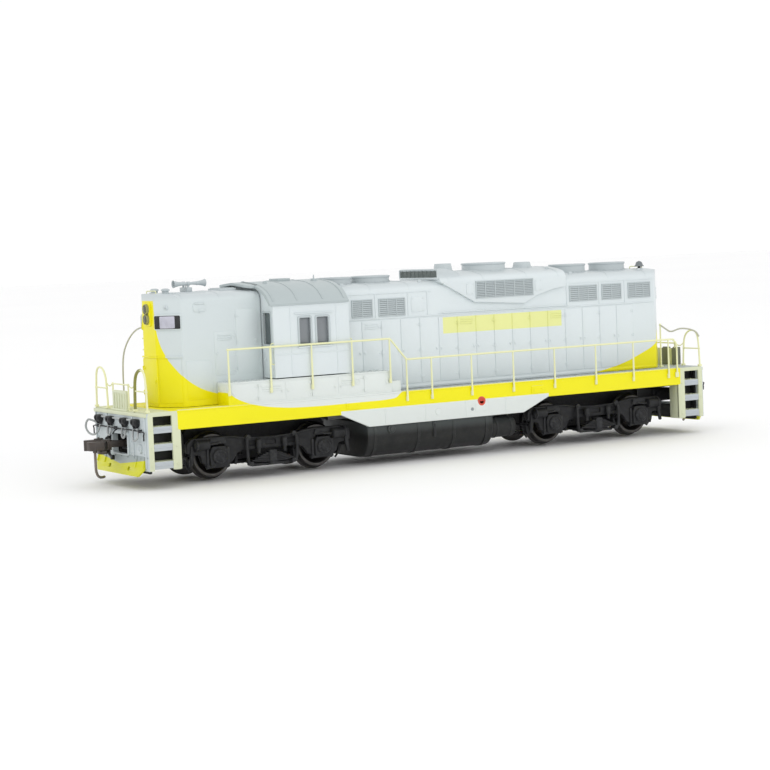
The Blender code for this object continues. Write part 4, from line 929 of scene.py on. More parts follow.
def fan_housing(sh, xc, r, z0, top, mat=0, dark=1, blade=2):
    prof = [(z0, r * 1.0), (z0 + 0.25, r), (z0 + 0.35, r * 0.965), (top - 0.75, r * 0.955), (top - 0.55, r * 0.99), (top - 0.25, r), (top - 0.06, r * 0.985), (top - 0.02, r * 0.95),
            (top - 0.10, r * 0.90), (top - 0.5, r * 0.875), (z0 + 0.3, r * 0.87), (z0 + 0.1, r * 0.85)]
    sh.lathe("z", xc, 0.0, prof, mat, 56, bored=True)
    # dark disc at the foot of the fan: painted shade of the pit below the blades
    sh.lathe("z", xc, 0.0, [(z0 + 0.05, r * 0.9), (z0 + 0.28, r * 0.9), (z0 + 0.28, 0.0)], dark, 40)
    fan_blades(sh, xc, r * 0.86, z0 + 0.28 + (top - z0) * 0.30, blade)
    sh.lathe("z", xc, 0.0, [(z0 + 0.2, r * 0.24), (top - 0.45, r * 0.2), (top - 0.35, r * 0.1), (top - 0.35, 0.0)], blade, 20)
    fan_grille(sh, xc, r * 0.9, top - 0.2, mat)
    for k in range(12):
        a = 2 * math.pi * (k + 0.5) / 12
        sh.bolt("z", xc + r * 0.995 * math.cos(a), r * 0.995 * math.sin(a), z0 + 0.28, 1, 0.16, 0.1, mat)


def roof_fans():
    for i, (xc, r, top) in enumerate(((25.2, 5.0, 51.3), (13.5, 5.6, 51.3), (-55.0, 5.6, 51.8), (-69.8, 5.6, 51.8)), 1):
        sh = Shape()
        fan_housing(sh, xc, r, 49.2, top)
        sh.lathe("z", xc, 0.0, [(48.9, r * 1.0), (49.5, r * 1.0), (49.5, r * 0.8), (48.9, r * 0.8)], 0, 48, bored=True)
        piece(sh, "radiator_fan_%d" % i, [M_ROOFGREY, M_DARK, M_FAN], "root", "roof_fan_%d" % i, 40)


def brake_hatch():
    top = [(11.5, 41.0), (11.5, 48.2)] + curve_through([(11.5, 48.6), (10.9, 49.6), (9.6, 50.3), (5.0, 51.2), (0.0, 51.5)], 5)
    outline = top + [(-y, z) for y, z in reversed(top[:-1])]
    side = curve_through([(-14.3, 42.4), (-31.4, 41.3)], 2) + [(-35.8, 43.4), (-41.5, 44.9), (-46.3, 45.6), (-46.3, 60.0), (-2.9, 60.0), (-2.9, 48.6)]
    hatch = boolean(raw(bm_prism("x", outline, -46.3, -2.9)), "INTERSECT", raw(bm_prism("y", side, -15, 15)))
    hatch = boolean(hatch, "DIFFERENCE", raw(bm_prism("x", hood_profile(30.0, -0.35), -50.0, 0.0)))
    sh = Shape()
    sh.put(to_bm(hatch, 0.22, 3, 28))
    for t in (1, -1):
        louvre(sh, -34.5, -14.5, 43.4, 48.4, t, 11.5, 1, 1, 4, pitch=0.5, bars=5)
        for x in (-12.6, -36.4):
            sh.prism("y", fillet([(x - 1.2, 44.6), (x + 1.2, 44.6), (x + 1.2, 48.0), (x - 1.2, 48.0)], 0.3, 3), t * 11.3, t * 11.64, 0, 0.05)
            for dz in (45.0, 47.6):
                sh.bolt("y", x - 0.8, dz, t * 11.64, t, 0.17, 0.12)
                sh.bolt("y", x + 0.8, dz, t * 11.64, t, 0.17, 0.12)
    # roof seams and lifting eyes
    for x in (-5.6, -17.4, -32.6, -43.6):
        prof = [(y * 1.003, z + 0.09) for y, z in top[2:]] + [(-y * 1.003, z + 0.09) for y, z in reversed(top[2:-1])]
        prof = prof + [(y * 0.985, z - 0.2) for y, z in reversed(prof)]
        sh.prism("x", prof, x - 0.15, x + 0.15, 0)
    for x in (-6.8, -42.4):
        for y in (-7.4, 7.4):
            sh.prism("y", fillet([(x - 0.7, 50.3), (x + 0.7, 50.3), (x + 0.5, 51.5), (x - 0.5, 51.5)], 0.35, 3), y - 0.16, y + 0.16, 0, 0.05)
    for xc, up in ((-11.0, 0.6), (-38.7, 0.0)):
        sh.lathe("z", xc, 0.0, [(50.9, 3.1), (51.5, 3.05), (51.62, 2.8)] + [(51.62, 2.75), (52.3, 2.6), (52.9 + up, 2.48), (53.08 + up, 2.36), (53.08 + up, 2.05), (52.9 + up, 1.95), (51.7, 1.85), (51.7, 0.0)], 0, 40)
        # dark disc inside the stack top: painted shade of the bore
        sh.lathe("z", xc, 0.0, [(51.68, 1.9), (51.78, 1.9), (51.78, 0.0)], 2, 30)
        for k in range(8):
            a = 2 * math.pi * k / 8
            sh.bolt("z", xc + 2.9 * math.cos(a), 2.9 * math.sin(a), 51.55, 1, 0.17, 0.12)
    fan_housing(sh, -25.0, 6.6, 50.9, 53.48, 0, 2, 3)
    # low scoop over a dark mesh intake across the front of the hatch; the plate behind the mesh is dark as painted
    # shade of the opening
    cover = [(-2.6, 51.95), (-2.4, 52.15), (-2.8, 52.42), (-5.4, 52.35), (-8.6, 51.5), (-9.8, 50.9), (-9.8, 50.2), (-3.4, 50.2), (-3.4, 51.8), (-2.6, 51.8)]
    scoop = boolean(raw(bm_prism("y", cover, -12.0, 12.0)), "INTERSECT", raw(bm_prism("x", fillet([(-10.3, 49.0), (10.3, 49.0), (10.3, 51.9), (9.6, 52.45), (-9.6, 52.45), (-10.3, 51.9)], 0.6, 4), -12.0, 0.0)))
    sh.put(to_bm(scoop, 0.12, 3, 35), 0)
    for t in (1, -1):
        sh.prism("y", [(-2.4, 49.6), (-2.4, 52.1), (-2.8, 52.3), (-8.4, 51.5), (-9.6, 50.9), (-9.6, 49.6)], t * 10.12, t * 10.48, 0, 0.06)
    sh.box(-3.0, -2.72, -10.2, 10.2, 49.9, 51.95, 5, 0.05)
    for k in range(4):
        z = 50.25 + 0.42 * k
        sh.box(-2.74, -2.62, -10.15, 10.15, z - 0.05, z + 0.05, 5, 0.02, 1)
    for k in range(9):
        y = -8.8 + 2.2 * k
        sh.box(-2.74, -2.55, y - 0.1, y + 0.1, 49.9, 51.95, 5, 0.03, 1)
    sh.box(-3.3, -2.45, -10.3, 10.3, 49.3, 49.95, 0, 0.12)
    return piece(sh, "brake_hatch", [M_HATCH, M_GREY, M_DARK, M_FAN, M_GREYD, M_SLOT], "root", "dynamic_brake_hatch", 36)


# ================================================================== cab
def cab_profile(grow=0.0, z0=DECK_Z + 0.1):
    g = grow
    roof = [(CAB_Y + g, CAB_EAVE_Z - 0.4)] + curve_through([(CAB_Y + g, CAB_EAVE_Z), (15.6 + g, 46.9 + g), (13.0, 48.7 + g), (8.0, 50.2 + g), (0.0, CAB_TOP_Z + g)], 5)
    right = [(HOOD_Y + g, z0), (HOOD_Y + g, CAB_Z0 - g), (CAB_Y + g, CAB_Z0 - g)] + roof
    return right + [(-y, z) for y, z in reversed(right[:-1])]


SIDE_WINDOWS = ((42.5, 46.1), (37.0, 40.8))


def rounded(u0, u1, v0, v1, r=0.45, k=4):
    return fillet([(u0, v0), (u1, v0), (u1, v1), (u0, v1)], r, k)


def cab():
    shell = raw(bm_prism("x", cab_profile(), CAB_X0, CAB_X1))
    tools = [raw(bm_prism("x", cab_profile(-WALL, 5.0), CAB_X0 + 0.9, CAB_X1 - 0.9)),
             raw(bm_prism("z", [(CAB_X0 - 2, -9.5), (CAB_X1 + 2, -9.5), (CAB_X1 + 2, 9.5), (CAB_X0 - 2, 9.5)], 5.0, 34.0))]
    for x0, x1 in SIDE_WINDOWS:
        tools.append(raw(bm_prism("y", rounded(x0, x1, 33.9, 41.3), -20, 20)))
    for t in (1, -1):
        y0, y1 = sorted((t * 11.3, t * 15.9))
        tools.append(raw(bm_prism("x", rounded(y0, y1, 34.4, 43.0, 0.6), CAB_X0 - 2, CAB_X1 + 2)))
    sh = Shape()
    sh.put(to_bm(boolean(shell, "DIFFERENCE", *tools), 0.16, 3, 30))
    y = CAB_Y
    for t in (1, -1):
        # window frames, arm rest and rain strip
        for x0, x1 in SIDE_WINDOWS:
            ring = boolean(raw(bm_prism("y", rounded(x0 - 0.42, x1 + 0.42, 33.5, 41.7, 0.7), t * (y - 0.3), t * (y + 0.22))), "DIFFERENCE", raw(bm_prism("y", rounded(x0 + 0.12, x1 - 0.12, 34.02, 41.18, 0.4), -20, 20)))
            sh.put(to_bm(ring, 0.07, 2), 1)
        sh.box(36.4, 46.7, t * (y - 0.2), t * (y + 0.55), 33.15, 33.55, 0, 0.14)
        sh.box(35.8, 47.4, t * (y - 0.2), t * (y + 0.42), 42.25, 42.5, 0, 0.08)
        # wall seams with rivet lines, lower panel, door outline behind the windows
        for z in (26.3, 32.2, 44.1):
            rivets(sh, [(CAB_X0 + 0.9 + 0.985 * k, z, t * y) for k in range(23)], "y", t, 0.09)
        sh.box(CAB_X0 + 0.1, CAB_X1 - 0.1, t * (y - 0.2), t * (y + 0.12), 31.5, 31.8, 0, 0.05, 1)
        for x in (CAB_X0 + 0.45, CAB_X1 - 0.45, 34.6, 48.6):
            rivets(sh, [(x, 27.2 + 0.95 * k, t * y) for k in range(5)], "y", t, 0.09)
        for x in (34.6, 48.6):
            sh.box(x - 0.16, x + 0.16, t * (y - 0.2), t * (y + 0.10), 26.0, 44.2, 0, 0.04, 1)
        # end walls: window rims, a door to each side, grab irons
        for x, s in ((CAB_X0, -1), (CAB_X1, 1)):
            y0, y1 = sorted((t * 11.3, t * 15.9))
            ring = boolean(raw(bm_prism("x", rounded(y0 - 0.4, y1 + 0.4, 34.0, 43.4, 0.9), x - s * 0.3, x + s * 0.22)), "DIFFERENCE", raw(bm_prism("x", rounded(y0 + 0.1, y1 - 0.1, 34.5, 42.9, 0.55), x - 3, x + 3)))
            sh.put(to_bm(ring, 0.07, 2), 1)
            sh.prism("x", rounded(y0 - 0.3, y1 + 0.3, 26.2, 33.4, 0.4), x - s * 0.2, x + s * 0.12, 0, 0.05)
            for z in (27.6, 32.0):
                sh.rod("z", x + s * 0.18, t * 16.2, 0.17, z - 0.5, z + 0.5, 0, 8)
            sh.lathe("x", t * 11.9, 30.4, [(x, 0.3), (x + s * 0.3, 0.3), (x + s * 0.36, 0.0)], 0, 12)
            grab(sh, (x, t * 16.75, 29.2), (x, t * 16.75, 34.8), (s * 0.8, 0, 0), 0.15, 2)
    return piece(sh, "cab_body", [M_PLAIN, M_GREY, M_RAIL], "root", "cab_shell", 36)


def cab_roof():
    outer = curve_through([(17.5, 45.3), (15.8, 47.2), (13.1, 49.0), (8.0, 50.5), (0.0, 51.2)], 6)
    inner = curve_through([(16.6, 45.0), (15.0, 46.6), (12.6, 48.2), (7.8, 49.7), (0.0, 50.4)], 6)
    half_o, half_i = [(17.5, 44.85)] + outer, [(16.6, 44.85)] + inner
    pts = half_o + [(-y, z) for y, z in reversed(half_o[:-1])] + half_i_rev(half_i)
    sh = Shape()
    slab = raw(bm_prism("x", pts, CAB_X0 - 0.1, CAB_X1 + 0.9))
    sh.put(to_bm(slab, 0.14, 3, 35))
    brow = [p for p in half_o if p[0] <= 9.2]
    low = [(y, z - 0.75) for y, z in brow]
    pts = brow + [(-y, z) for y, z in reversed(brow[:-1])] + [(-y, z) for y, z in low] + [(y, z) for y, z in reversed(low[:-1])]
    plan = fillet([(CAB_X1 - 1.0, -10.0), (CAB_X1 + 1.2, -10.0), (CAB_X1 + 3.6, -7.2), (CAB_X1 + 3.6, 7.2), (CAB_X1 + 1.2, 10.0), (CAB_X1 - 1.0, 10.0)], 1.2, 5)
    hood = boolean(raw(bm_prism("x", pts, CAB_X1 - 0.9, CAB_X1 + 3.6)), "INTERSECT", raw(bm_prism("z", plan, 30, 60)))
    sh.put(to_bm(hood, 0.12, 3, 35))
    # ribs over the roof, vent, aerial plinth and rivets
    for x in (CAB_X0 + 1.2, 38.4, 46.2, CAB_X1 - 0.4):
        rib = [(y * 1.004, z + 0.12) for y, z in outer if y < 17.2]
        rib = rib + [(-y, z) for y, z in reversed(rib[:-1])]
        rib = rib + [(y * 0.985, z - 0.25) for y, z in reversed(rib)]
        sh.prism("x", rib, x - 0.18, x + 0.18, 0)
    for t in (1, -1):
        sh.box(CAB_X0 + 0.2, CAB_X1 + 0.6, t * 17.2, t * 17.62, 44.75, 45.1, 0, 0.1)
        for k in range(12):
            x = CAB_X0 + 1.8 + 1.9 * k
            sh.bolt("z", x, t * 15.55, 47.25, 1, 0.13, 0.12)
    sh.prism("z", rounded(40.2, 44.6, -2.6, 2.6, 0.7), 50.9, 51.75, 0, 0.2, 3)
    sh.lathe("z", 34.6, 5.4, [(50.4, 0.9), (51.2, 0.9), (51.35, 0.75), (51.35, 0.22), (52.4, 0.14), (52.4, 0.0)], 1, 18)
    for y in (-6.6, 6.6):
        sh.prism("y", fillet([(49.6, 50.0), (51.2, 50.0), (50.9, 51.35), (49.9, 51.35)], 0.4, 3), y - 0.17, y + 0.17, 0, 0.05)
    return piece(sh, "cab_roof", [M_ROOF_SHADED, M_GREY], "root", (), 36)


def half_i_rev(half):
    left = [(-y, z) for y, z in half]
    return left + [(y, z) for y, z in reversed(half[:-1])]


def cab_windows():
    sh = Shape()
    for t in (1, -1):
        for x0, x1 in SIDE_WINDOWS:
            sh.prism("y", rounded(x0 - 0.35, x1 + 0.35, 33.6, 41.6, 0.5), t * (CAB_Y - 0.62), t * (CAB_Y - 0.92), 0, 0.05)
        y0, y1 = sorted((t * 11.0, t * 16.05))
        for x, s in ((CAB_X0, -1), (CAB_X1, 1)):
            sh.prism("x", rounded(y0, y1, 34.1, 43.2, 0.6), x - s * 0.55, x - s * 0.85, 1, 0.05)
    return piece(sh, "cab_windows", [M_GLASS, M_GLASS_END], "root", "cab_glazing")


def cab_inside():
    """What shows through the panes: two seats, the control stand, and a dark shelf at sill height on each side."""
    sh = Shape()
    for t in (1, -1):
        sh.prism("z", rounded(38.6, 41.6, *sorted((t * 11.4, t * 14.6)), 0.7), 34.7, 35.7, 0, 0.35, 4)
        sh.prism("x", rounded(*sorted((t * 11.5, t * 14.5)), 35.4, 40.2, 0.9), 38.0, 38.9, 0, 0.35, 4)
        sh.lathe("z", 40.1, t * 13.0, [(33.6, 1.0), (34.0, 0.45), (34.8, 0.45)], 1, 16)
        sh.box(32.2, 52.2, t * 9.6, t * 15.6, 33.2, 33.7, 1, 0.05)
    sh.prism("y", fillet([(45.6, 33.6), (48.8, 33.6), (48.8, 38.4), (47.6, 39.4), (45.6, 37.0)], 0.3, 3), 9.8, 13.2, 1, 0.15)
    sh.tube([(47.0, 12.0, 38.6), (46.6, 12.0, 39.9)], 0.16, 2, 8)
    sh.ball(46.6, 12.0, 40.0, 0.3, 2, 10)
    sh.tube([(47.0, 10.8, 38.6), (46.8, 10.8, 39.7)], 0.16, 2, 8)
    sh.ball(46.8, 10.8, 39.8, 0.3, 2, 10)
    return piece(sh, "cab_inside", [M_SEAT, M_DARK, M_STEEL], "root", ())


# ================================================================== horn, bell, headlights
def horn_piece():
    sh = Shape()
    sh.prism("z", rounded(70.0, 71.6, -2.4, 2.4, 0.3), 49.2, 50.6, 0, 0.12)
    for y, x0, x1 in ((1.5, 67.6, 75.2), (-1.5, 72.4, 64.4)):
        d = 1 if x1 > x0 else -1
        L = abs(x1 - x0)
        prof = [(0.0, 0.38), (0.35, 0.52), (0.8, 0.52), (1.0, 0.34), (L * 0.45, 0.36), (L * 0.7, 0.5), (L * 0.85, 0.68), (L * 0.95, 0.88), (L - 0.06, 1.04), (L, 1.03), (L - 0.02, 0.94), (L * 0.93, 0.72), (L * 0.8, 0.5), (L * 0.7, 0.0)]
        sh.lathe("x", y, 51.6, [(x0 + d * w, r) for w, r in prof], 0, 32)
        sh.tube([(70.8, y, 50.4), (70.8, y, 51.3)], 0.3, 0, 10)
        sh.lathe("x", y, 51.6, [(70.4, 0.55), (71.2, 0.55), (71.2, 0.3), (70.4, 0.3)], 0, 20, bored=True)
    sh.tube(curve_through([(70.8, 0.0, 49.2), (70.8, 0.0, 50.9), (70.8, 0.4, 51.2), (70.8, 1.3, 51.25)], 4), 0.16, 0, 8)
    return piece(sh, "air_horn", [M_HORN], "root", "horn")


def bell_piece():
    sh = Shape()
    x, y = -80.0, 3.0
    cup = [(50.05, 1.48), (50.15, 1.5), (50.3, 1.36), (50.6, 1.12), (51.0, 0.98), (51.3, 0.86), (51.5, 0.6), (51.6, 0.25), (51.7, 0.2), (51.7, 0.0)]
    sh.lathe("z", x, y, cup + [], 0, 32)
    sh.lathe("z", x, y, [(49.2, 0.62), (49.6, 0.62), (49.7, 0.42), (50.2, 0.42)], 1, 20)
    sh.ball(x, y, 49.95, 0.32, 1, 12)
    return piece(sh, "bell_cup", [M_BELL, M_DARK], "root", "bell")


def headlight_piece(s, name):
    sh = Shape()
    e = s * (HOOD_END_X + 0.3)
    for z in (42.55, 45.25):
        sh.lathe("x", 0.0, z, [(e, 1.42), (e + s * 0.55, 1.4), (e + s * 0.72, 1.3), (e + s * 0.72, 1.16), (e + s * 0.4, 1.12), (e + s * 0.1, 1.1)], 1, 36, bored=True)
        sh.lathe("x", 0.0, z, [(e + s * 0.05, 1.14), (e + s * 0.5, 1.14), (e + s * 0.72, 0.95), (e + s * 0.86, 0.55), (e + s * 0.9, 0.0)], 0, 32)
    return piece(sh, name, [M_LENS, M_RIM], "root", name.replace("lamps", "headlight"))


M_RIM = painted("lamp_rim", S(150, 150, 100), 0.4, tint=0.03)
M_ROOFGREY = painted("roof_fan_grey", S(188, 196, 198), 0.45, tint=0.03)
M_FAN = moulded("fan_blades", (0.06, 0.063, 0.066), 0.5, sheen=(0.12, 0.12, 0.12), edge_wear_and_highlight=0.3, texture=0.2, dust=0.2)
# Hatch paint: silver turning greyer above z 49.2, painted shade on the hatch top.
M_HATCH = painted("hatch_paint_shaded_top", SILVER, 0.38, lambda g, base: g.mix(g.remap(g.xyz()[2], 49.2, 51.0, 0.0, 1.0, True), base, S(194, 202, 204)), tint=0.03)
M_SEAT = moulded("seat_vinyl", (0.05, 0.045, 0.04), 0.6, sheen=(0.08, 0.07, 0.06), edge_wear_and_highlight=0.2, texture=0.6, dust=0.05)
M_HORN = painted("horn_grey", S(186, 194, 196), 0.4, coat=0.2)
M_BELL = painted("bell_grey", S(120, 126, 128), 0.4, coat=0.2)

long_hood()
short_hood()
hood_louvres()
roof_fans()
brake_hatch()
cab()
cab_roof()
cab_windows()
cab_inside()
horn_piece()
bell_piece()
headlight_piece(1, "lamps_front")
headlight_piece(-1, "lamps_rear")


MARK_X, MARK_Z, PLUG_X, PLUG_Z = -11.2, 14.55, -8.0, 12.5


# ================================================================== walkway, sills, boxes, steps, pilots
def tread_pattern(sh, x0, x1, y0, y1, z, mat=0, pitch=1.15, size=0.42):
    """Raised lozenges in alternate directions over a flat plate, as one run of closed little prisms."""
    bm = bmesh.new()
    nx, ny = max(1, int(abs(x1 - x0) / pitch)), max(1, int(abs(y1 - y0) / pitch))
    for i in range(nx):
        for j in range(ny):
            cx = x0 + (i + 0.5) * (x1 - x0) / nx
            cy = y0 + (j + 0.5) * (y1 - y0) / ny
            a = math.radians(45 if (i + j) % 2 else -45)
            ca, sa = math.cos(a), math.sin(a)
            lo, hi = [], []
            for u, v in ((size, 0), (0, size * 0.32), (-size, 0), (0, -size * 0.32)):
                lo.append(bm.verts.new(P(cx + u * ca - v * sa, cy + u * sa + v * ca, z - 0.06)))
                hi.append(bm.verts.new(P(cx + 0.75 * (u * ca - v * sa), cy + 0.75 * (u * sa + v * ca), z + 0.07)))
            bm.faces.new(lo[::-1])
            bm.faces.new(hi)
            for k in range(4):
                m = (k + 1) % 4
                bm.faces.new((lo[k], lo[m], hi[m], hi[k]))
    sh.put(bm, mat)


def deck():
    sh = Shape()
    outline = [(-END_X + 0.3, -17.1), (END_X - 0.3, -17.1), (END_X - 0.3, 17.1), (-END_X + 0.3, 17.1)]
    hole = [(81.0, -3.6), (81.0, 3.6), (76.7, 9.4), (-76.7, 9.4), (-81.0, 3.6), (-81.0, -3.6), (-76.7, -9.4), (76.7, -9.4)]
    plate = boolean(raw(bm_prism("z", outline, 18.1, DECK_Z)), "DIFFERENCE", raw(bm_prism("z", hole, 10, 30)))
    sh.put(to_bm(plate, 0.12, 2, 35))
    for t in (1, -1):
        tread_pattern(sh, -81.6, 14.0, t * 11.2, t * 16.2, DECK_Z)
        tread_pattern(sh, 68.6, 81.6, t * 11.4, t * 16.2, DECK_Z)
    for s in (1, -1):
        tread_pattern(sh, s * 83.4, s * 90.2, -16.4, 16.4, DECK_Z)
    # cross members and pipe runs under the deck
    for x in (-78, -33.5, -28.2, 28.2, 33.5, 78):
        sh.box(x - 0.7, x + 0.7, 10.0, 16.4, 16.3, 18.2, 1, 0.15)
        sh.box(x - 0.7, x + 0.7, -16.4, -10.0, 16.3, 18.2, 1, 0.15)
    return piece(sh, "deck", [M_DECK, M_BLACK], "root", "walkway_frame")


def sills():
    outline = [(-WELL_X - 0.8, DECK_Z + 0.05), (-WELL_X - 0.8, SILL_Z), (-34.4, SILL_Z), (-25.6, SKIRT_Z), (25.6, SKIRT_Z), (34.4, SILL_Z), (WELL_X + 0.8, SILL_Z), (WELL_X + 0.8, DECK_Z + 0.05)]
    for t, side in ((1, "left"), (-1, "right")):
        sh = Shape()
        sh.prism("y", fillet(outline, 0.5, 3), t * 16.35, t * HALF_W, 0, 0.16, 3, 35)
        # curb bead, lower return, stiffener seams, jacking pads and bolts
        sh.box(-82.8, 82.8, t * 17.25, t * 17.62, 18.75, 19.1, 0, 0.1)
        sh.box(-33.8, -83.0, t * 15.3, t * 16.6, SILL_Z, SILL_Z + 0.5, 0, 0.08)
        sh.box(33.8, 83.0, t * 15.3, t * 16.6, SILL_Z, SILL_Z + 0.5, 0, 0.08)
        sh.box(-25.4, 25.4, t * 15.0, t * 16.6, SKIRT_Z, SKIRT_Z + 0.5, 0, 0.08)
        for x in (-19.5, -6.0, 7.5, 20.5):
            sh.box(x - 0.14, x + 0.14, t * 17.3, t * 17.6, SKIRT_Z + 0.4, 15.0, 0, 0.05, 1)
        for x in (-30.6, 30.6):
            sh.prism("y", fillet([(x - 2.2, 15.4), (x + 2.2, 15.4), (x + 2.2, 17.6), (x - 2.2, 17.6)], 0.4, 3), t * 17.2, t * 17.68, 0, 0.1)
            for dx in (-1.5, 1.5):
                sh.bolt("y", x + dx, 16.5, t * 17.68, t, 0.24, 0.14)
        rivets(sh, [(-81.5 + 1.9 * k, 18.3, t * HALF_W) for k in range(87)], "y", t, 0.10)
        rivets(sh, [(-24.5 + 1.9 * k, 10.95, t * HALF_W) for k in range(27)], "y", t, 0.10)
        # filler and drain fittings on the skirt
        sh.lathe("y", 3.4, 12.6, [(t * 17.2, 0.95), (t * 17.6, 0.95), (t * 17.72, 0.8), (t * 17.72, 0.0)], 0, 26)
        sh.prism("y", rounded(-13.2, -9.0, 11.7, 14.6, 0.4), t * 17.3, t * 17.6, 0, 0.08)
        # plain round marker and a small drain plug
        sh.lathe("y", MARK_X, MARK_Z, [(t * 17.3, 1.35), (t * 17.56, 1.35), (t * 17.64, 1.2), (t * 17.64, 0.75), (t * 17.6, 0.7), (t * 17.6, 0.0)], 1, 32)
        sh.lathe("y", PLUG_X, PLUG_Z, [(t * 17.3, 0.55), (t * 17.6, 0.5), (t * 17.66, 0.35), (t * 17.66, 0.0)], 2, 6)
        piece(sh, "sill_%s" % side, [M_SILL, M_RED, M_GREYD])
        # dark side beam behind the sill
        sh = Shape()
        inner = [(-WELL_X - 0.4, 18.05), (-WELL_X - 0.4, SILL_Z + 0.5), (-34.2, SILL_Z + 0.5), (-25.4, SKIRT_Z + 0.5), (25.4, SKIRT_Z + 0.5), (34.2, SILL_Z + 0.5), (WELL_X + 0.4, SILL_Z + 0.5), (WELL_X + 0.4, 18.05)]
        sh.prism("y", inner, t * 15.7, t * 16.34, 0, 0.1)
        sh.box(-82.0, 82.0, t * 15.2, t * 15.9, 17.2, 18.05, 0, 0.1)
        for k in range(15):
            x = -79.0 + 11.3 * k
            if abs(x) > 35.5:
                sh.box(x - 0.35, x + 0.35, t * 15.2, t * 15.9, SILL_Z + 0.6, 17.6, 0, 0.1)
        piece(sh, "side_beam_%s" % side, [M_BLACK])


def battery_boxes():
    for t, side in ((1, "left"), (-1, "right")):
        sh = Shape()
        y0, y1 = sorted((t * 10.55, t * 17.3))
        sh.box(BOX_X0, BOX_X1, y0, y1, DECK_Z - 0.4, BOX_Z, 0, 0.3, 3)
        sh.box(14.6, BOX_X0 + 0.4, *sorted((t * 12.0, t * 16.6)), DECK_Z - 0.4, DECK_Z + 3.0, 0, 0.22, 3)
        tread_pattern(sh, 15.0, 17.8, t * 12.5, t * 16.2, DECK_Z + 3.0, 1)
        tread_pattern(sh, 18.6, 30.2, t * 11.2, t * 16.9, BOX_Z, 1)
        tread_pattern(sh, 55.0, 67.4, t * 11.2, t * 16.9, BOX_Z, 1)
        n = 6
        for k in range(n):
            x0 = 19.0 + k * 8.1
            door(sh, x0 + 0.15, x0 + 7.7, 19.75, 24.55, t, 17.3, 0, hinge=-1 if k % 2 else 1, slits=3 if k in (1, 4) else 0, rise=0.12)
        sh.box(BOX_X0 - 0.05, BOX_X1 + 0.05, t * 17.1, t * 17.42, 24.85, 25.2, 0, 0.08)
        for x in (BOX_X0, BOX_X1):
            s = 1 if x > 40 else -1
            sh.prism("x", rounded(*sorted((t * 11.6, t * 16.4)), 20.2, 24.4, 0.4), x - s * 0.2, x + s * 0.12, 0, 0.05)
            for dy in (12.2, 15.8):
                sh.bolt("x", t * dy, 22.3, x + s * 0.12, s, 0.2, 0.12)
        piece(sh, "battery_box_%s" % side, [M_SILL, M_DECK])


def corner_steps(s, t, name):
    sh = Shape()
    X = lambda a, b: sorted((s * a, s * b))
    Y = lambda a, b: sorted((t * a, t * b))
    # stringers, back wall, three treads with turned-down lips and cleats; the lips and cleats take a darker copy of the
    # step paint as painted shade
    sh.prism("y", fillet([(s * 82.3, 3.9), (s * 84.7, 3.9), (s * 84.7, 18.6), (s * 82.3, 18.6)], 0.4, 3), t * 16.7, t * 17.45, 0, 0.12)
    sh.box(*X(82.3, 83.0), *Y(13.0, 17.2), 3.9, 18.3, 0, 0.1)
    sh.prism("y", fillet([(s * 90.0, 3.9), (s * 91.5, 3.9), (s * 91.5, 18.6), (s * 90.0, 18.6)], 0.4, 3), t * 16.8, t * 17.45, 0, 0.12)
    # dark back wall of the step well: painted shade
    sh.box(*X(82.6, 91.2), *Y(13.0, 13.45), 4.2, 18.3, 1, 0.05)
    for z0, z1 in ((4.3, 6.3), (9.0, 10.9), (13.6, 15.4)):
        sh.box(*X(82.9, 90.9), *Y(13.3, 17.2), z1 - 0.5, z1, 0, 0.1)
        sh.box(*X(82.9, 90.9), *Y(16.75, 17.3), z0, z1 - 0.05, 2, 0.16, 3)
        sh.box(*X(84.8, 89.9), *Y(17.2, 17.42), z0 + 0.75, z1 - 0.75, 2, 0.07)
        tread_pattern(sh, s * 83.3, s * 90.5, t * 13.6, t * 16.7, z1, 0, 1.0, 0.36)
    sh.box(*X(83.0, 91.3), *Y(16.9, 17.40), 18.0, 19.12, 0, 0.14)
    for z in (5.3, 9.95, 14.5):
        sh.bolt("y", s * 83.5, z, t * 17.45, t, 0.26, 0.15)
        sh.bolt("y", s * 90.75, z, t * 17.45, t, 0.24, 0.15)
    return piece(sh, name, [M_STEP, M_DARK, M_LIP_SHADED])


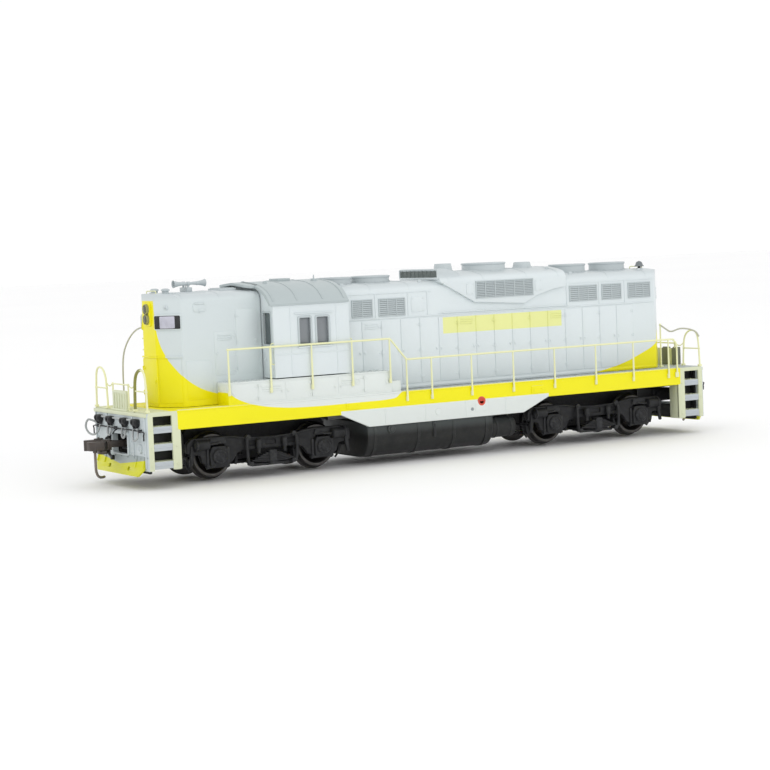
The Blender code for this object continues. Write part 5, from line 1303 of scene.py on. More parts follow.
def pilot(s, name):
    sh = Shape()
    X = lambda a, b: sorted((s * a, s * b))
    plate = raw(bm_prism("x", fillet([(-17.4, 7.2), (17.4, 7.2), (17.4, 18.9), (-17.4, 18.9)], 0.4, 3), *X(END_X - 1.2, END_X)))
    plate = boolean(plate, "DIFFERENCE", raw(bm_prism("x", rounded(-4.8, 4.8, 7.6, 12.9, 0.6), *X(88, 96))))
    sh.put(to_bm(plate, 0.14, 3, 35), 0)
    e = s * END_X
    back = raw(bm_prism("x", rounded(-15.4, 15.4, 3.0, 17.8, 0.4), *X(89.95, 90.6)))
    back = boolean(back, "DIFFERENCE", raw(bm_prism("x", rounded(-5.4, 5.4, 6.9, 13.4, 0.4), *X(88, 96))))
    sh.put(to_bm(back, 0.1, 2, 35), 1)
    # coupler pocket surround, buffer beam cap, vertical ribs, pockets, bolts
    ring = boolean(raw(bm_prism("x", rounded(-5.6, 5.6, 7.3, 13.7, 0.8), *X(END_X - 0.1, END_X + 0.45))), "DIFFERENCE", raw(bm_prism("x", rounded(-4.75, 4.75, 7.65, 12.85, 0.6), *X(88, 96))))
    sh.put(to_bm(ring, 0.1, 2), 0)
    sh.box(*X(END_X - 0.3, END_X + 0.4), -17.2, 17.2, 17.9, 18.9, 2, 0.16)
    for t in (1, -1):
        sh.box(*X(END_X - 0.2, END_X + 0.35), t * 8.2, t * 8.7, 7.5, 17.8, 0, 0.1)
        sh.box(*X(END_X - 0.2, END_X + 0.35), t * 15.9, t * 16.5, 4.6, 17.8, 0, 0.1)
        sh.lathe("x", t * 12.6, 9.6, [(e, 1.25), (e + s * 0.4, 1.25), (e + s * 0.5, 1.1), (e + s * 0.42, 0.85), (e + s * 0.05, 0.6), (e + s * 0.05, 0.0)], 0, 28)
        for z in (8.3, 11.2, 14.1, 16.9):
            sh.bolt("x", t * 6.9, z, e, s, 0.26, 0.18)
            sh.bolt("x", t * 14.9, z, e, s, 0.26, 0.18)
        sh.box(*X(END_X - 1.2, END_X), *sorted((t * 13.0, t * 17.4)), 3.9, 7.6, 0, 0.14)
    # uncoupling lever on three brackets, with its bent handles
    for y in (-13.8, -2.4, 13.8):
        sh.box(*X(END_X - 0.1, END_X + 0.95), y - 0.3, y + 0.3, 13.9, 14.7, 1, 0.12)
    pts = [(s * 92.45, -16.6, 11.9), (s * 92.45, -16.6, 13.3), (s * 92.45, -15.6, 14.3), (s * 92.45, -1.2, 14.3), (s * 92.45, -0.2, 14.3), (s * 92.45, 1.0, 14.3), (s * 92.45, 15.6, 14.3), (s * 92.45, 16.6, 13.3), (s * 92.45, 16.6, 11.9)]
    sh.tube(curve_through(pts, 3), 0.2, 1, 8)
    sh.tube([(s * 92.45, -0.4, 14.3), (s * 93.4, -0.4, 13.6), (s * 93.9, -0.4, 12.9)], 0.18, 1, 8)
    # drop step standing folded in the middle
    sh.prism("x", fillet([(-4.6, 18.6), (4.6, 18.6), (4.6, 23.9), (4.0, 24.3), (-4.0, 24.3), (-4.6, 23.9)], 0.5, 3), *X(END_X - 0.75, END_X - 0.05), 2, 0.14)
    for y in (-3.4, -1.7, 0.0, 1.7, 3.4):
        sh.box(*X(END_X - 0.2, END_X + 0.2), y - 0.28, y + 0.28, 19.5, 23.6, 2, 0.12)
    sh.rod("y", e - s * 0.2, 19.2, 0.42, -4.9, 4.9, 2, 16)
    return piece(sh, name, [M_PILOT, M_BLACK, M_STEP, M_GREYD])


def plow(s, name):
    sh = Shape()
    outer = curve_through([(END_X, 7.7), (91.95, 6.4), (92.5, 4.5), (93.38, 2.45)], 4)
    inner = curve_through([(92.7, 2.45), (91.95, 4.2), (91.3, 5.9), (END_X - 1.2, 7.3)], 4)
    prof = [(s * u, v) for u, v in outer + inner]
    blade = raw(bm_prism("y", prof, -15.4, 15.4))
    cutters = []
    for t in (1, -1):
        cutters.append(raw(bm_prism("x", [(t * 15.6, 2.0), (t * 15.6, 4.4), (t * 12.8, 2.0)], -120, 120)))
        cutters.append(raw(bm_prism("x", rounded(*sorted((t * 5.6, t * 7.0)), 3.6, 4.6, 0.3), -120, 120)))
    blade = boolean(blade, "DIFFERENCE", *cutters)
    sh.put(to_bm(blade, 0.12, 3, 35))
    for y in (-15.1, -10.2, 10.2, 15.1):
        rib = [(s * (u + 0.28), v) for u, v in curve_through([(END_X, 7.6), (91.95, 6.4), (92.45, 4.7)], 3)] + [(s * (u - 0.3), v) for u, v in reversed(curve_through([(END_X, 7.6), (91.95, 6.4), (92.45, 4.7)], 3))]
        sh.prism("y", rib, y - 0.25, y + 0.25, 0, 0.06)
    for y in (-12.7, -8.4, -4.2, 0.0, 4.2, 8.4, 12.7):
        sh.bolt("x", y, 6.95, s * 91.85, s, 0.26, 0.18)
    return piece(sh, name, [M_PLOW])


# ================================================================== railings
def wire(sh, pts, r=0.26, k=4, n=10, mat=0):
    sh.tube(curve_through(pts, k) if k > 1 else pts, r, mat, n)


def stanchion(sh, x, y, z0, z1, t, foot=True):
    """Tapered post with a ball at the rail and a bolted foot on the sill."""
    sh.tube([(x, y, z0), (x, y, z0 + 0.6), (x, y, (z0 + z1) / 2), (x, y, z1 - 0.3), (x, y, z1 + 0.05)], 0.3, 0, 10, radii=[0.30, 0.30, 0.26, 0.22, 0.22])
    sh.ball(x, y, z1, 0.30, 0, 14)
    if foot:
        sh.box(x - 0.36, x + 0.36, y - t * 0.42, y + t * 0.10, z0 - 0.1, z0 + 1.2, 0, 0.12)
        sh.bolt("y", x, z0 + 0.5, y + t * 0.08, t, 0.17, 0.12)


def side_rail(t, name, node):
    sh = Shape()
    y = t * 17.92
    high, low = 34.0, 28.0
    wire(sh, [(68.2, y, high), (60.0, y, high), (43.0, y, high), (25.0, y, high), (19.2, y, high), (18.3, y, high - 0.25), (17.4, y, high - 1.2), (14.3, y, low + 1.1), (13.4, y, low + 0.2), (12.4, y, low), (5.0, y, low), (-30.0, y, low), (-60.0, y, low), (-78.6, y, low), (-80.4, y, low - 0.35), (-81.4, y, low - 1.4), (-81.6, y, low - 3.0), (-81.6, y, 22.0), (-81.6, y, DECK_Z - 2.6)], 0.27, 4, 12)
    for x in (67.9, 55.5, 43.0, 30.5, 18.6):
        stanchion(sh, x, y, BOX_Z - 3.3, high, t)
    for x in (13.4, 5.3, -8.0, -22.2, -36.6, -51.4, -65.2, -78.4):
        stanchion(sh, x, y, DECK_Z - 2.7, low, t)
    sh.box(-82.2, -81.0, y - t * 0.4, y + t * 0.12, 16.5, 18.0, 0, 0.12)
    if t < 0:
        # tall hold at the steps: rises from the sill and curves in to the hood
        wire(sh, [(82.7, t * 17.75, 16.6), (82.7, t * 17.75, 22.0), (82.7, t * 17.7, 28.0), (82.5, t * 17.3, 32.4), (82.0, t * 16.0, 35.6), (81.2, t * 13.6, 38.4), (80.2, t * 11.2, 39.9), (79.3, t * 8.7, 40.1)], 0.22, 4, 10, 1)
        sh.box(82.1, 83.3, t * 17.3, t * 17.98, 16.2, 17.9, 0, 0.12)
        sh.bolt("y", 82.7, 17.0, t * 17.95, t, 0.22, 0.12)
    # behind, a post at the hood's corner and a wavy hold out to the end railing
    wire(sh, [(-82.75, t * 8.9, DECK_Z + 0.2), (-82.75, t * 8.9, 25.0), (-82.75, t * 8.9, 31.9)], 0.24, 2, 10)
    sh.ball(-82.75, t * 8.9, 32.05, 0.4, 0, 12)
    sh.box(-83.25, -82.25, t * 8.4, t * 9.4, DECK_Z - 0.1, DECK_Z + 0.5, 0, 0.12)
    wire(sh, [(-82.75, t * 8.9, 32.05), (-83.6, t * 10.2, 30.9), (-84.8, t * 11.5, 29.95), (-86.7, t * 13.5, 30.75), (-88.7, t * 15.5, 30.5), (-90.3, t * 16.5, 29.6), (-91.15, t * 16.9, 28.2)], 0.24, 4, 10, 1)
    return piece(sh, name, [M_RAIL, M_WIRE], "root", node)


def end_rail(s, name, node):
    sh = Shape()
    x = s * 91.15
    for t in (1, -1):
        # on one side the inner post takes the dark olive copy of the railing paint: painted shade
        dark = 1 if t == s else 0
        wire(sh, [(x, t * 16.9, 18.6), (x, t * 16.8, 22.0), (x, t * 16.5, 26.4), (x, t * 16.0, 28.6), (x, t * 15.1, 29.7), (x, t * 13.6, 30.05)], 0.27, 4, 12)
        wire(sh, [(x, t * 13.6, 30.05), (x, t * 12.2, 29.8), (x, t * 10.7, 28.8), (x, t * 9.85, 27.2), (x, t * 9.5, 25.0), (x, t * 9.2, 21.6), (x, t * 9.1, 18.9)], 0.40 if dark else 0.27, 4, 12, dark)
        wire(sh, [(x, t * 16.7, 24.5), (x, t * 9.5, 24.5)], 0.2, 1, 10)
        for y in (16.9, 9.1):
            sh.box(x - 0.5, x + 0.5, t * y - 0.5, t * y + 0.5, 19.1, 19.75, 0, 0.14)
        sh.ball(x, t * 16.7, 24.5, 0.38, 0, 12)
        sh.ball(x, t * 9.5, 24.5, 0.38, dark, 12)
        wire(sh, [(x, t * 5.15, 19.0), (x, t * 5.15, 25.9)], 0.22, 1, 10)
        sh.ball(x, t * 5.15, 25.9, 0.36, 0, 12)
        # sagging safety chain between the posts
        link = [(x, t * (9.5 - 4.35 * f), 26.1 - 0.9 * math.sin(math.pi * f)) for f in [i / 12 for i in range(13)]]
        for i, (a, b) in enumerate(zip(link, link[1:])):
            mid = [(a[k] + b[k]) / 2 for k in range(3)]
            dy, dz = (b[1] - a[1]) * 0.72, (b[2] - a[2]) * 0.72
            loop = []
            for q in range(10):
                ang = 2 * math.pi * q / 10
                u, v = math.cos(ang), math.sin(ang) * 0.15
                loop.append((mid[0] + (v if i % 2 else 0), mid[1] + dy * u, mid[2] + dz * u + (0 if i % 2 else v)))
            sh.tube(loop, 0.065, 0, 5, closed=True)
    # two squat cable boxes at the rear platform, with lids
    for y0, y1 in (((-1.0, 2.4), (3.9, 7.2)) if s < 0 else ()):
        sh.box(x - 0.62, x - 0.1, y0, y1, 19.25, 24.7, 2, 0.2, 3)
        sh.prism("x", rounded(y0 + 0.3, y1 - 0.3, 19.9, 24.1, 0.3), x - 0.74, x - 0.3, 2, 0.08)
        sh.box(x - 0.3, x + 0.5, y0 + 0.15, y1 - 0.15, 19.3, 24.4, 2, 0.15)
    wire(sh, [(x, -5.15, 25.9), (x, 0.0, 25.9), (x, 5.15, 25.9)], 0.2, 2, 10)
    return piece(sh, name, [M_RAIL, M_RAIL_SHADE, M_CABLEBOX], "root", node)


# ================================================================== hoses
def hoses(s, name, node):
    sh = Shape()
    x = s * 92.25
    sh.rod("y", x - s * 0.1, 16.9, 0.26, -13.3, 12.3, 0, 14, 0.08)
    for y in (-13.2, -5.6, 3.9, 11.2):
        # clustered fitting: dark body, two spigots, a collar
        sh.prism("x", rounded(y - 1.75, y + 1.75, 15.6, 17.3, 0.6), min(s * 91.5, s * 93.0), max(s * 91.5, s * 93.0), 1, 0.25, 3)
        for dy in (-0.9, 0.9):
            sh.lathe("z", x, y + dy, [(15.8, 0.52), (15.3, 0.52), (15.15, 0.36), (14.8, 0.36)], 1, 14)
            sh.lathe("x", y + dy, 16.5, [(s * 92.9, 0.5), (s * 93.2, 0.48), (s * 93.28, 0.3), (s * 93.28, 0.0)], 1, 14)
    # pale hoses: a wide ring outboard of the first fitting, short loops under the rest
    ring = [(x, -14.1, 15.0), (x + s * 1.2, -14.9, 15.7), (x + s * 2.2, -15.8, 15.9), (x + s * 2.7, -16.3, 14.2), (x + s * 2.4, -15.2, 12.5), (x + s * 1.7, -13.2, 12.0), (x + s * 0.8, -12.2, 13.0), (x, -12.3, 14.9)]
    sh.tube(curve_through(ring, 6), 0.28, 0, 12)
    for y, low, reach in ((-5.6, 12.3, 1.4), (3.9, 12.1, 1.3), (11.2, 11.7, 2.2)):
        loop = [(x, y - 0.9, 14.9), (x + s * 0.35, y - 1.1, 13.9), (x + s * 0.6, y - 0.5, low + 0.3), (x + s * 0.6, y + 0.6, low), (x + s * 0.5, y + reach, low + 1.0), (x + s * 0.2, y + reach * 0.85, 14.0), (x, y + 0.9, 15.0)]
        sh.tube(curve_through(loop, 5), 0.26, 0, 12)
    # train-line hose beside the coupler
    y = -6.3
    sh.lathe("x", y, 11.6, [(s * 91.6, 0.7), (s * 92.3, 0.7), (s * 92.4, 0.46), (s * 92.9, 0.46)], 1, 18)
    pts = [(s * 92.8, y, 11.6), (s * 93.35, y, 11.2), (s * 93.6, y + 0.4, 9.8), (s * 93.45, y + 1.0, 8.0), (s * 93.0, y + 1.7, 6.8), (s * 93.0, y + 2.5, 6.4)]
    sh.tube(curve_through(pts, 5), 0.36, 2, 12)
    sh.prism("x", fillet([(y + 2.3, 5.8), (y + 3.5, 5.8), (y + 3.7, 6.6), (y + 3.3, 7.1), (y + 2.3, 7.0)], 0.25, 3), min(s * 92.6, s * 93.4), max(s * 92.6, s * 93.4), 1, 0.12)
    return piece(sh, name, [M_HOSE, M_BLACK, M_RUBBER], "root", node)


# ================================================================== tank
def tank():
    half = [(15.0, 11.3), (15.2, 8.6)] + curve_through([(15.15, 7.4), (14.75, 4.9), (13.4, 2.6), (11.4, 1.5), (9.0, 1.2)], 5)
    side = half + [(-y, z) for y, z in reversed(half)]
    sh = Shape()
    sh.prism("x", side, -16.4, 25.0, 0, 0.4, 4, 40)
    # straps, gauge, filler necks and drain
    for x in (-14.2, -3.2, 8.6, 22.6):
        o = [(y + 0.16 * (1 if y > 0 else -1), z - (0.16 if z < 5 else 0.0)) for y, z in side]
        ring = o + [(y * 0.985, z + 0.2) for y, z in reversed(side)]
        sh.prism("x", ring, x - 0.45, x + 0.45, 0, 0.05, 1)
    for t in (1, -1):
        sh.box(-16.2, 24.8, t * 14.6, t * 15.45, 10.3, 11.2, 0, 0.18)
        sh.lathe("y", 17.6, 8.9, [(t * 14.8, 1.25), (t * 15.6, 1.2), (t * 15.75, 1.05), (t * 15.75, 0.6), (t * 15.95, 0.55), (t * 15.95, 0.0)], 0, 28)
        sh.box(3.0, 3.9, t * 15.0, t * 15.5, 5.6, 9.8, 0, 0.14)
        sh.box(3.22, 3.68, t * 15.3, t * 15.58, 6.1, 9.3, 1, 0.06)
        for x in (-11.0, 0.4, 12.6, 20.0):
            sh.bolt("y", x, 10.75, t * 15.45, t, 0.26, 0.16)
        # air reservoirs with domed ends and bands
        prof = [(-25.6, 0.0), (-25.55, 0.9), (-25.3, 1.9), (-24.9, 2.6), (-24.4, 2.95), (-24.1, 3.0), (-17.0, 3.0), (-16.2, 3.0), (-16.1, 0.0)]
        sh.lathe("x", t * 11.6, 6.2, prof, 0, 40)
        for x in (-23.2, -18.4):
            sh.lathe("x", t * 11.6, 6.2, [(x - 0.35, 3.0), (x - 0.3, 3.13), (x + 0.3, 3.13), (x + 0.35, 3.0), (x + 0.35, 2.8), (x - 0.35, 2.8)], 0, 40, bored=True)
            sh.box(x - 0.35, x + 0.35, *sorted((t * 10.9, t * 12.3)), 9.0, 11.1, 0, 0.08)
    sh.lathe("z", -6.0, 0.0, [(1.4, 0.9), (1.15, 0.9), (0.95, 0.7), (0.95, 0.0)], 1, 6)
    sh.box(-25.0, -16.0, -9.4, 9.4, 8.7, 11.2, 0, 0.3, 3)
    for k in range(7):
        sh.box(-24.2 + 1.15 * k, -23.7 + 1.15 * k, -8.8, 8.8, 8.55, 8.8, 0, 0.08, 1)
    return piece(sh, "fuel_tank_body", [M_TANK, M_BLACK, M_GREY], "root", "fuel_tank")


# ================================================================== couplers
def coupler_pocket(s, name, node):
    x = lambda a, b: sorted((s * a, s * b))
    body = raw(bm_prism("z", rounded(*x(82.9, 90.1), -4.2, 4.2, 0.8), COUPLER_Z - 1.85, COUPLER_Z + 1.95))
    body = boolean(body, "DIFFERENCE", raw(bm_prism("z", rounded(*x(83.5, 93.0), -3.6, 3.6, 0.4), COUPLER_Z - 1.2, COUPLER_Z + 1.2)))
    sh = Shape()
    sh.put(to_bm(body, 0.16, 3, 35))
    sh.rod("z", s * COUPLER_PIVOT_X, 0.0, 0.8, COUPLER_Z - 1.6, COUPLER_Z + 1.7, 1, 24)
    sh.lathe("z", s * COUPLER_PIVOT_X, 0.0, [(COUPLER_Z - 1.7, 1.25), (COUPLER_Z - 1.95, 1.25), (COUPLER_Z - 2.1, 1.05), (COUPLER_Z - 2.1, 0.3), (COUPLER_Z - 1.95, 0.25), (COUPLER_Z - 1.95, 0.0)], 1, 28)
    for t in (1, -1):
        sh.box(*x(84.2, 89.2), t * 4.1, t * 4.5, COUPLER_Z - 1.3, COUPLER_Z + 1.3, 0, 0.14)
    return piece(sh, name, [M_BLACK, M_STEEL], "root", node)


def coupler_head(s, name, node, body_name):
    sh = Shape()
    z = COUPLER_Z
    ring = raw(bm_lathe("z", COUPLER_PIVOT_X, 0.0, [(z - 0.8, 2.0), (z - 0.65, 2.2), (z + 0.65, 2.2), (z + 0.8, 2.0)], 40))
    shank = raw(bm_prism("z", fillet([(COUPLER_PIVOT_X, -1.0), (94.2, -1.0), (95.6, -1.3), (95.6, 1.1), (94.2, 1.0), (COUPLER_PIVOT_X, 1.0)], 0.3, 3), z - 0.8, z + 0.8))
    ring = boolean(ring, "UNION", shank)
    ring = boolean(ring, "DIFFERENCE", raw(bm_lathe("z", COUPLER_PIVOT_X, 0.0, [(z - 5, 0.95), (z + 5, 0.95)], 32)))
    head = fillet([(94.8, -1.0), (96.4, -2.7), (98.2, -3.3), (100.6, -3.5), (101.4, -2.7), (99.6, -1.5), (98.3, -0.7), (97.3, 0.4), (96.5, 1.0), (94.8, 1.0)], 0.45, 4)
    ring = boolean(ring, "UNION", raw(bm_prism("z", head, z - 1.5, z + 1.3)))
    shelf = fillet([(95.2, -1.6), (98.2, -1.6), (98.9, 1.4), (98.7, 3.0), (97.2, 3.1), (95.2, 0.9)], 0.4, 4)
    ring = boolean(ring, "UNION", raw(bm_prism("z", shelf, z - 2.2, z - 1.38)))
    sh.put(to_bm(ring, 0.14, 3, 32))
    # hinge pin, ribs and the lift-lever eye
    sh.rod("z", KNUCKLE_X, KNUCKLE_Y, 0.42, z - 2.3, z + 1.32, 0, 20, 0.06)
    sh.prism("y", fillet([(91.6, z + 0.7), (95.4, z + 0.7), (95.4, z + 1.25)], 0.2, 3), -0.3, 0.3, 0, 0.08)
    sh.box(96.0, 98.4, -2.7, -1.9, z + 1.2, z + 1.62, 0, 0.12)
    sh.rod("z", 97.2, -2.2, 0.3, z + 1.2, z + 1.9, 0, 16, 0.05)
    if s < 0:
        sh.shift(turn=math.pi)
    return piece(sh, name, [M_COUPLER], body_name, node)


def knuckle(s, name, node, body_name):
    sh = Shape()
    z = COUPLER_Z
    shape = fillet([(96.9, 1.5), (96.8, 3.0), (97.9, 3.6), (100.4, 3.4), (101.65, 2.5), (101.75, 0.5), (101.0, -0.25), (100.4, 0.9), (99.6, 1.5), (98.5, 1.1), (97.6, 1.05)], 0.5, 4)
    body = boolean(raw(bm_prism("z", shape, z - 1.2, z + 1.15)), "DIFFERENCE", raw(bm_lathe("z", KNUCKLE_X, KNUCKLE_Y, [(z - 5, 0.5), (z + 5, 0.5)], 24)))
    sh.put(to_bm(body, 0.16, 3, 32))
    pin = [(100.2, 2.3, z - 0.9), (100.2, 2.3, 7.6), (100.2, 2.3, 5.4), (100.05, 2.05, 3.9), (99.4, 1.3, 2.6), (98.4, 0.2, 1.9), (97.3, -0.9, 1.62), (96.2, -2.0, 1.6)]
    sh.tube(curve_through(pin, 5), 0.36, 1, 14)
    sh.ball(96.2, -2.0, 1.6, 0.36, 1, 12)
    sh.lathe("z", 100.2, 2.3, [(z - 1.7, 0.55), (z - 1.1, 0.55)], 0, 18)
    if s < 0:
        sh.shift(turn=math.pi)
    return piece(sh, name, [M_COUPLER, M_PIN], body_name, node)


# ================================================================== trucks, built about a pivot at x = 0 and then shifted
def coil(sh, x, y, z0, z1, r, wire_r, turns, mat=0):
    n = int(turns * 14)
    sh.tube([(x + r * math.cos(2 * math.pi * turns * i / n), y + r * math.sin(2 * math.pi * turns * i / n), z0 + (z1 - z0) * i / n) for i in range(n + 1)], wire_r, mat, 6)


def sideframe(sh, t):
    yi, yo = 11.5, 13.3
    # cast frame: top beam that steps down between the journals, with arches over each box
    top = [(-24.5, 9.6), (-23.2, 10.9), (-18.6, 10.95), (-17.4, 11.0), (-13.0, 11.0), (-9.6, 10.7), (-7.4, 9.9), (7.4, 9.9), (9.6, 10.7), (13.0, 11.0), (17.4, 11.0), (18.6, 10.95), (23.2, 10.9), (24.5, 9.6)]
    low = [(24.5, 7.2), (22.8, 6.6), (20.9, 6.4), (20.2, 4.4), (19.6, 3.9), (18.9, 3.9), (18.7, 7.8), (17.6, 8.9), (13.9, 8.9), (12.8, 7.8), (12.6, 3.9), (11.9, 3.9), (11.2, 4.4), (9.9, 6.2), (8.3, 6.8), (-8.3, 6.8), (-9.9, 6.2), (-11.2, 4.4), (-11.9, 3.9), (-12.6, 3.9), (-12.8, 7.8), (-13.9, 8.9), (-17.6, 8.9), (-18.7, 7.8), (-18.9, 3.9), (-19.6, 3.9), (-20.2, 4.4), (-20.9, 6.4), (-22.8, 6.6), (-24.5, 7.2)]
    body = raw(bm_prism("y", fillet(top + low, 0.45, 3), t * yi, t * yo))
    for x in (-21.9, -6.0, 0.0, 6.0, 21.9):
        w = 1.0 if abs(x) > 10 else 1.7
        body = boolean(body, "DIFFERENCE", raw(bm_prism("y", rounded(x - w, x + w, 7.7, 9.1, 0.5), t * (yo - 0.55), t * (yo + 1))))
    sh.put(to_bm(body, 0.16, 3, 32))
    # flange beads over the boxes
    for x0, x1 in ((-18.4, -13.1), (13.1, 18.4)):
        sh.prism("y", fillet([(x0, 9.1), (x1, 9.1), (x1 - 0.6, 10.7), (x0 + 0.6, 10.7)], 0.4, 3), t * (yo - 0.2), t * (yo + 0.45), 0, 0.14)
    for xc in (-AXLE_DX, AXLE_DX):
        # journal box with its bolted round cover, pedestal liners and keeper strap
        sh.prism("y", fillet([(xc - 2.5, 3.2), (xc + 2.5, 3.2), (xc + 2.7, 6.8), (xc + 2.0, 8.5), (xc - 2.0, 8.5), (xc - 2.7, 6.8)], 0.6, 4), t * 11.9, t * 14.3, 0, 0.2, 3)
        sh.lathe("y", xc, WHEEL_R, [(t * 14.2, 2.05), (t * 14.75, 2.0), (t * 14.95, 1.8), (t * 15.0, 1.2), (t * 15.12, 1.1), (t * 15.18, 0.55), (t * 15.18, 0.0)], 0, 36)
        for k in range(6):
            a = 2 * math.pi * (k + 0.5) / 6
            sh.bolt("y", xc + 1.58 * math.cos(a), WHEEL_R + 1.58 * math.sin(a), t * 14.92, t, 0.24, 0.16)
        sh.box(xc - 3.4, xc + 3.4, t * 12.0, t * 13.5, 2.75, 3.5, 0, 0.16)
        for dx in (-3.0, 3.0):
            sh.bolt("z", xc + dx, t * 12.75, 2.75, -1, 0.34, 0.25)
            sh.box(xc + dx - 0.35, xc + dx + 0.35, t * 11.8, t * 13.7, 3.4, 8.0, 0, 0.12)
    # brake cylinders on the frame ends, with rods, levers and shoes
    for s in (-1, 1):
        xc = s * 20.7
        sh.lathe("x", t * 13.9, 9.15, [(xc - s * 2.2, 0.0), (xc - s * 2.2, 1.0), (xc - s * 2.0, 1.35), (xc + s * 1.3, 1.4), (xc + s * 1.45, 1.6), (xc + s * 1.8, 1.6), (xc + s * 1.9, 1.3), (xc + s * 2.3, 0.8), (xc + s * 2.3, 0.0)], 0, 30)
        for k in range(6):
            a = 2 * math.pi * k / 6
            sh.bolt("x", t * 13.9 + 1.4 * math.cos(a) * 0.98, 9.15 + 1.4 * math.sin(a) * 0.98, xc + s * 1.8, s, 0.2, 0.14)
        wire(sh, [(xc - s * 2.1, t * 13.9, 9.15), (xc - s * 4.4, t * 13.9, 9.25), (xc - s * 5.6, t * 13.7, 9.6)], 0.3, 2, 10)
        sh.prism("y", fillet([(s * 23.4, 3.6), (s * 24.2, 3.8), (s * 23.6, 8.9), (s * 22.6, 8.9), (s * 22.9, 6.0)], 0.3, 3), t * 13.1, t * 13.7, 0, 0.12)
        # shoe against the outer rim of the wheel
        arc_o = arc(s * AXLE_DX, WHEEL_R, 7.55, math.radians(-24) if s > 0 else math.radians(204), math.radians(24) if s > 0 else math.radians(156), 8)
        arc_i = arc(s * AXLE_DX, WHEEL_R, 6.75, math.radians(-24) if s > 0 else math.radians(204), math.radians(24) if s > 0 else math.radians(156), 8)
        sh.prism("y", arc_o + arc_i[::-1], t * 8.2, t * 10.3, 0, 0.12)
        sh.box(s * 23.2, s * 24.1, *sorted((t * 8.8, t * 11.9)), 5.4, 6.3, 0, 0.14)
        arc_o = arc(s * AXLE_DX, WHEEL_R, 7.55, math.radians(204) if s > 0 else math.radians(-24), math.radians(156) if s > 0 else math.radians(24), 8)
        arc_i = arc(s * AXLE_DX, WHEEL_R, 6.75, math.radians(204) if s > 0 else math.radians(-24), math.radians(156) if s > 0 else math.radians(24), 8)
        sh.prism("y", arc_o + arc_i[::-1], t * 8.2, t * 10.3, 0, 0.12)
        sh.box(s * 7.6, s * 8.5, *sorted((t * 8.8, t * 11.9)), 5.4, 6.3, 0, 0.14)
        # sand pipe
        wire(sh, [(s * 22.4, t * 11.0, 10.4), (s * 23.6, t * 10.6, 9.0), (s * 23.9, t * 9.6, 6.0), (s * 23.0, t * 8.9, 3.2), (s * 22.1, t * 8.7, 1.9)], 0.28, 4, 10)
    # swing hangers and the leaf spring pack in the middle
    for s in (-1, 1):
        pts = [(s * 6.9, t * 13.5, 10.2), (s * 7.4, t * 14.1, 9.4), (s * 7.5, t * 14.3, 6.6), (s * 7.3, t * 14.3, 4.0), (s * 6.8, t * 14.2, 2.9), (s * 6.2, t * 14.0, 2.7)]
        wire(sh, pts, 0.46, 4, 12)
        sh.rod("y", s * 6.95, 10.1, 0.75, t * 12.9, t * 14.2, 0, 20, 0.12)
        sh.rod("y", s * 6.35, 2.95, 0.62, t * 12.6, t * 14.7, 0, 20, 0.12)
    for k in range(6):
        half = 6.2 - 0.8 * k
        zc = 3.5 + 0.42 * k
        sag = 0.5 * (1 - k / 6)
        outer = curve_through([(-half, zc + sag), (-half * 0.5, zc + sag * 0.25), (0.0, zc), (half * 0.5, zc + sag * 0.25), (half, zc + sag)], 4)
        prof = outer + [(u, v - 0.34) for u, v in reversed(outer)]
        sh.prism("y", prof, t * 12.9, t * 14.6, 0, 0.05, 1)
    sh.box(-1.1, 1.1, t * 12.7, t * 14.95, 2.5, 6.3, 0, 0.2, 3)
    sh.box(-5.8, 5.8, t * 12.3, t * 13.4, 2.1, 2.9, 0, 0.2)
    for s in (-1, 1):
        sh.bolt("y", s * 0.6, 3.2, t * 14.95, t, 0.22, 0.14)
        sh.bolt("y", s * 0.6, 5.6, t * 14.95, t, 0.22, 0.14)
        # snubber between frame and bolster, and an oil pipe along the frame
        sh.rod("z", s * 3.9, t * 14.0, 0.5, 5.6, 9.0, 0, 18, 0.1)
        sh.rod("z", s * 3.9, t * 14.0, 0.72, 7.0, 9.3, 0, 18, 0.1)
    wire(sh, [(-18.0, t * 13.7, 10.6), (-12.0, t * 13.75, 10.75), (-8.4, t * 13.75, 10.2), (0.0, t * 13.7, 9.7), (8.4, t * 13.75, 10.2), (12.0, t * 13.75, 10.75), (18.0, t * 13.7, 10.6)], 0.17, 4, 8)


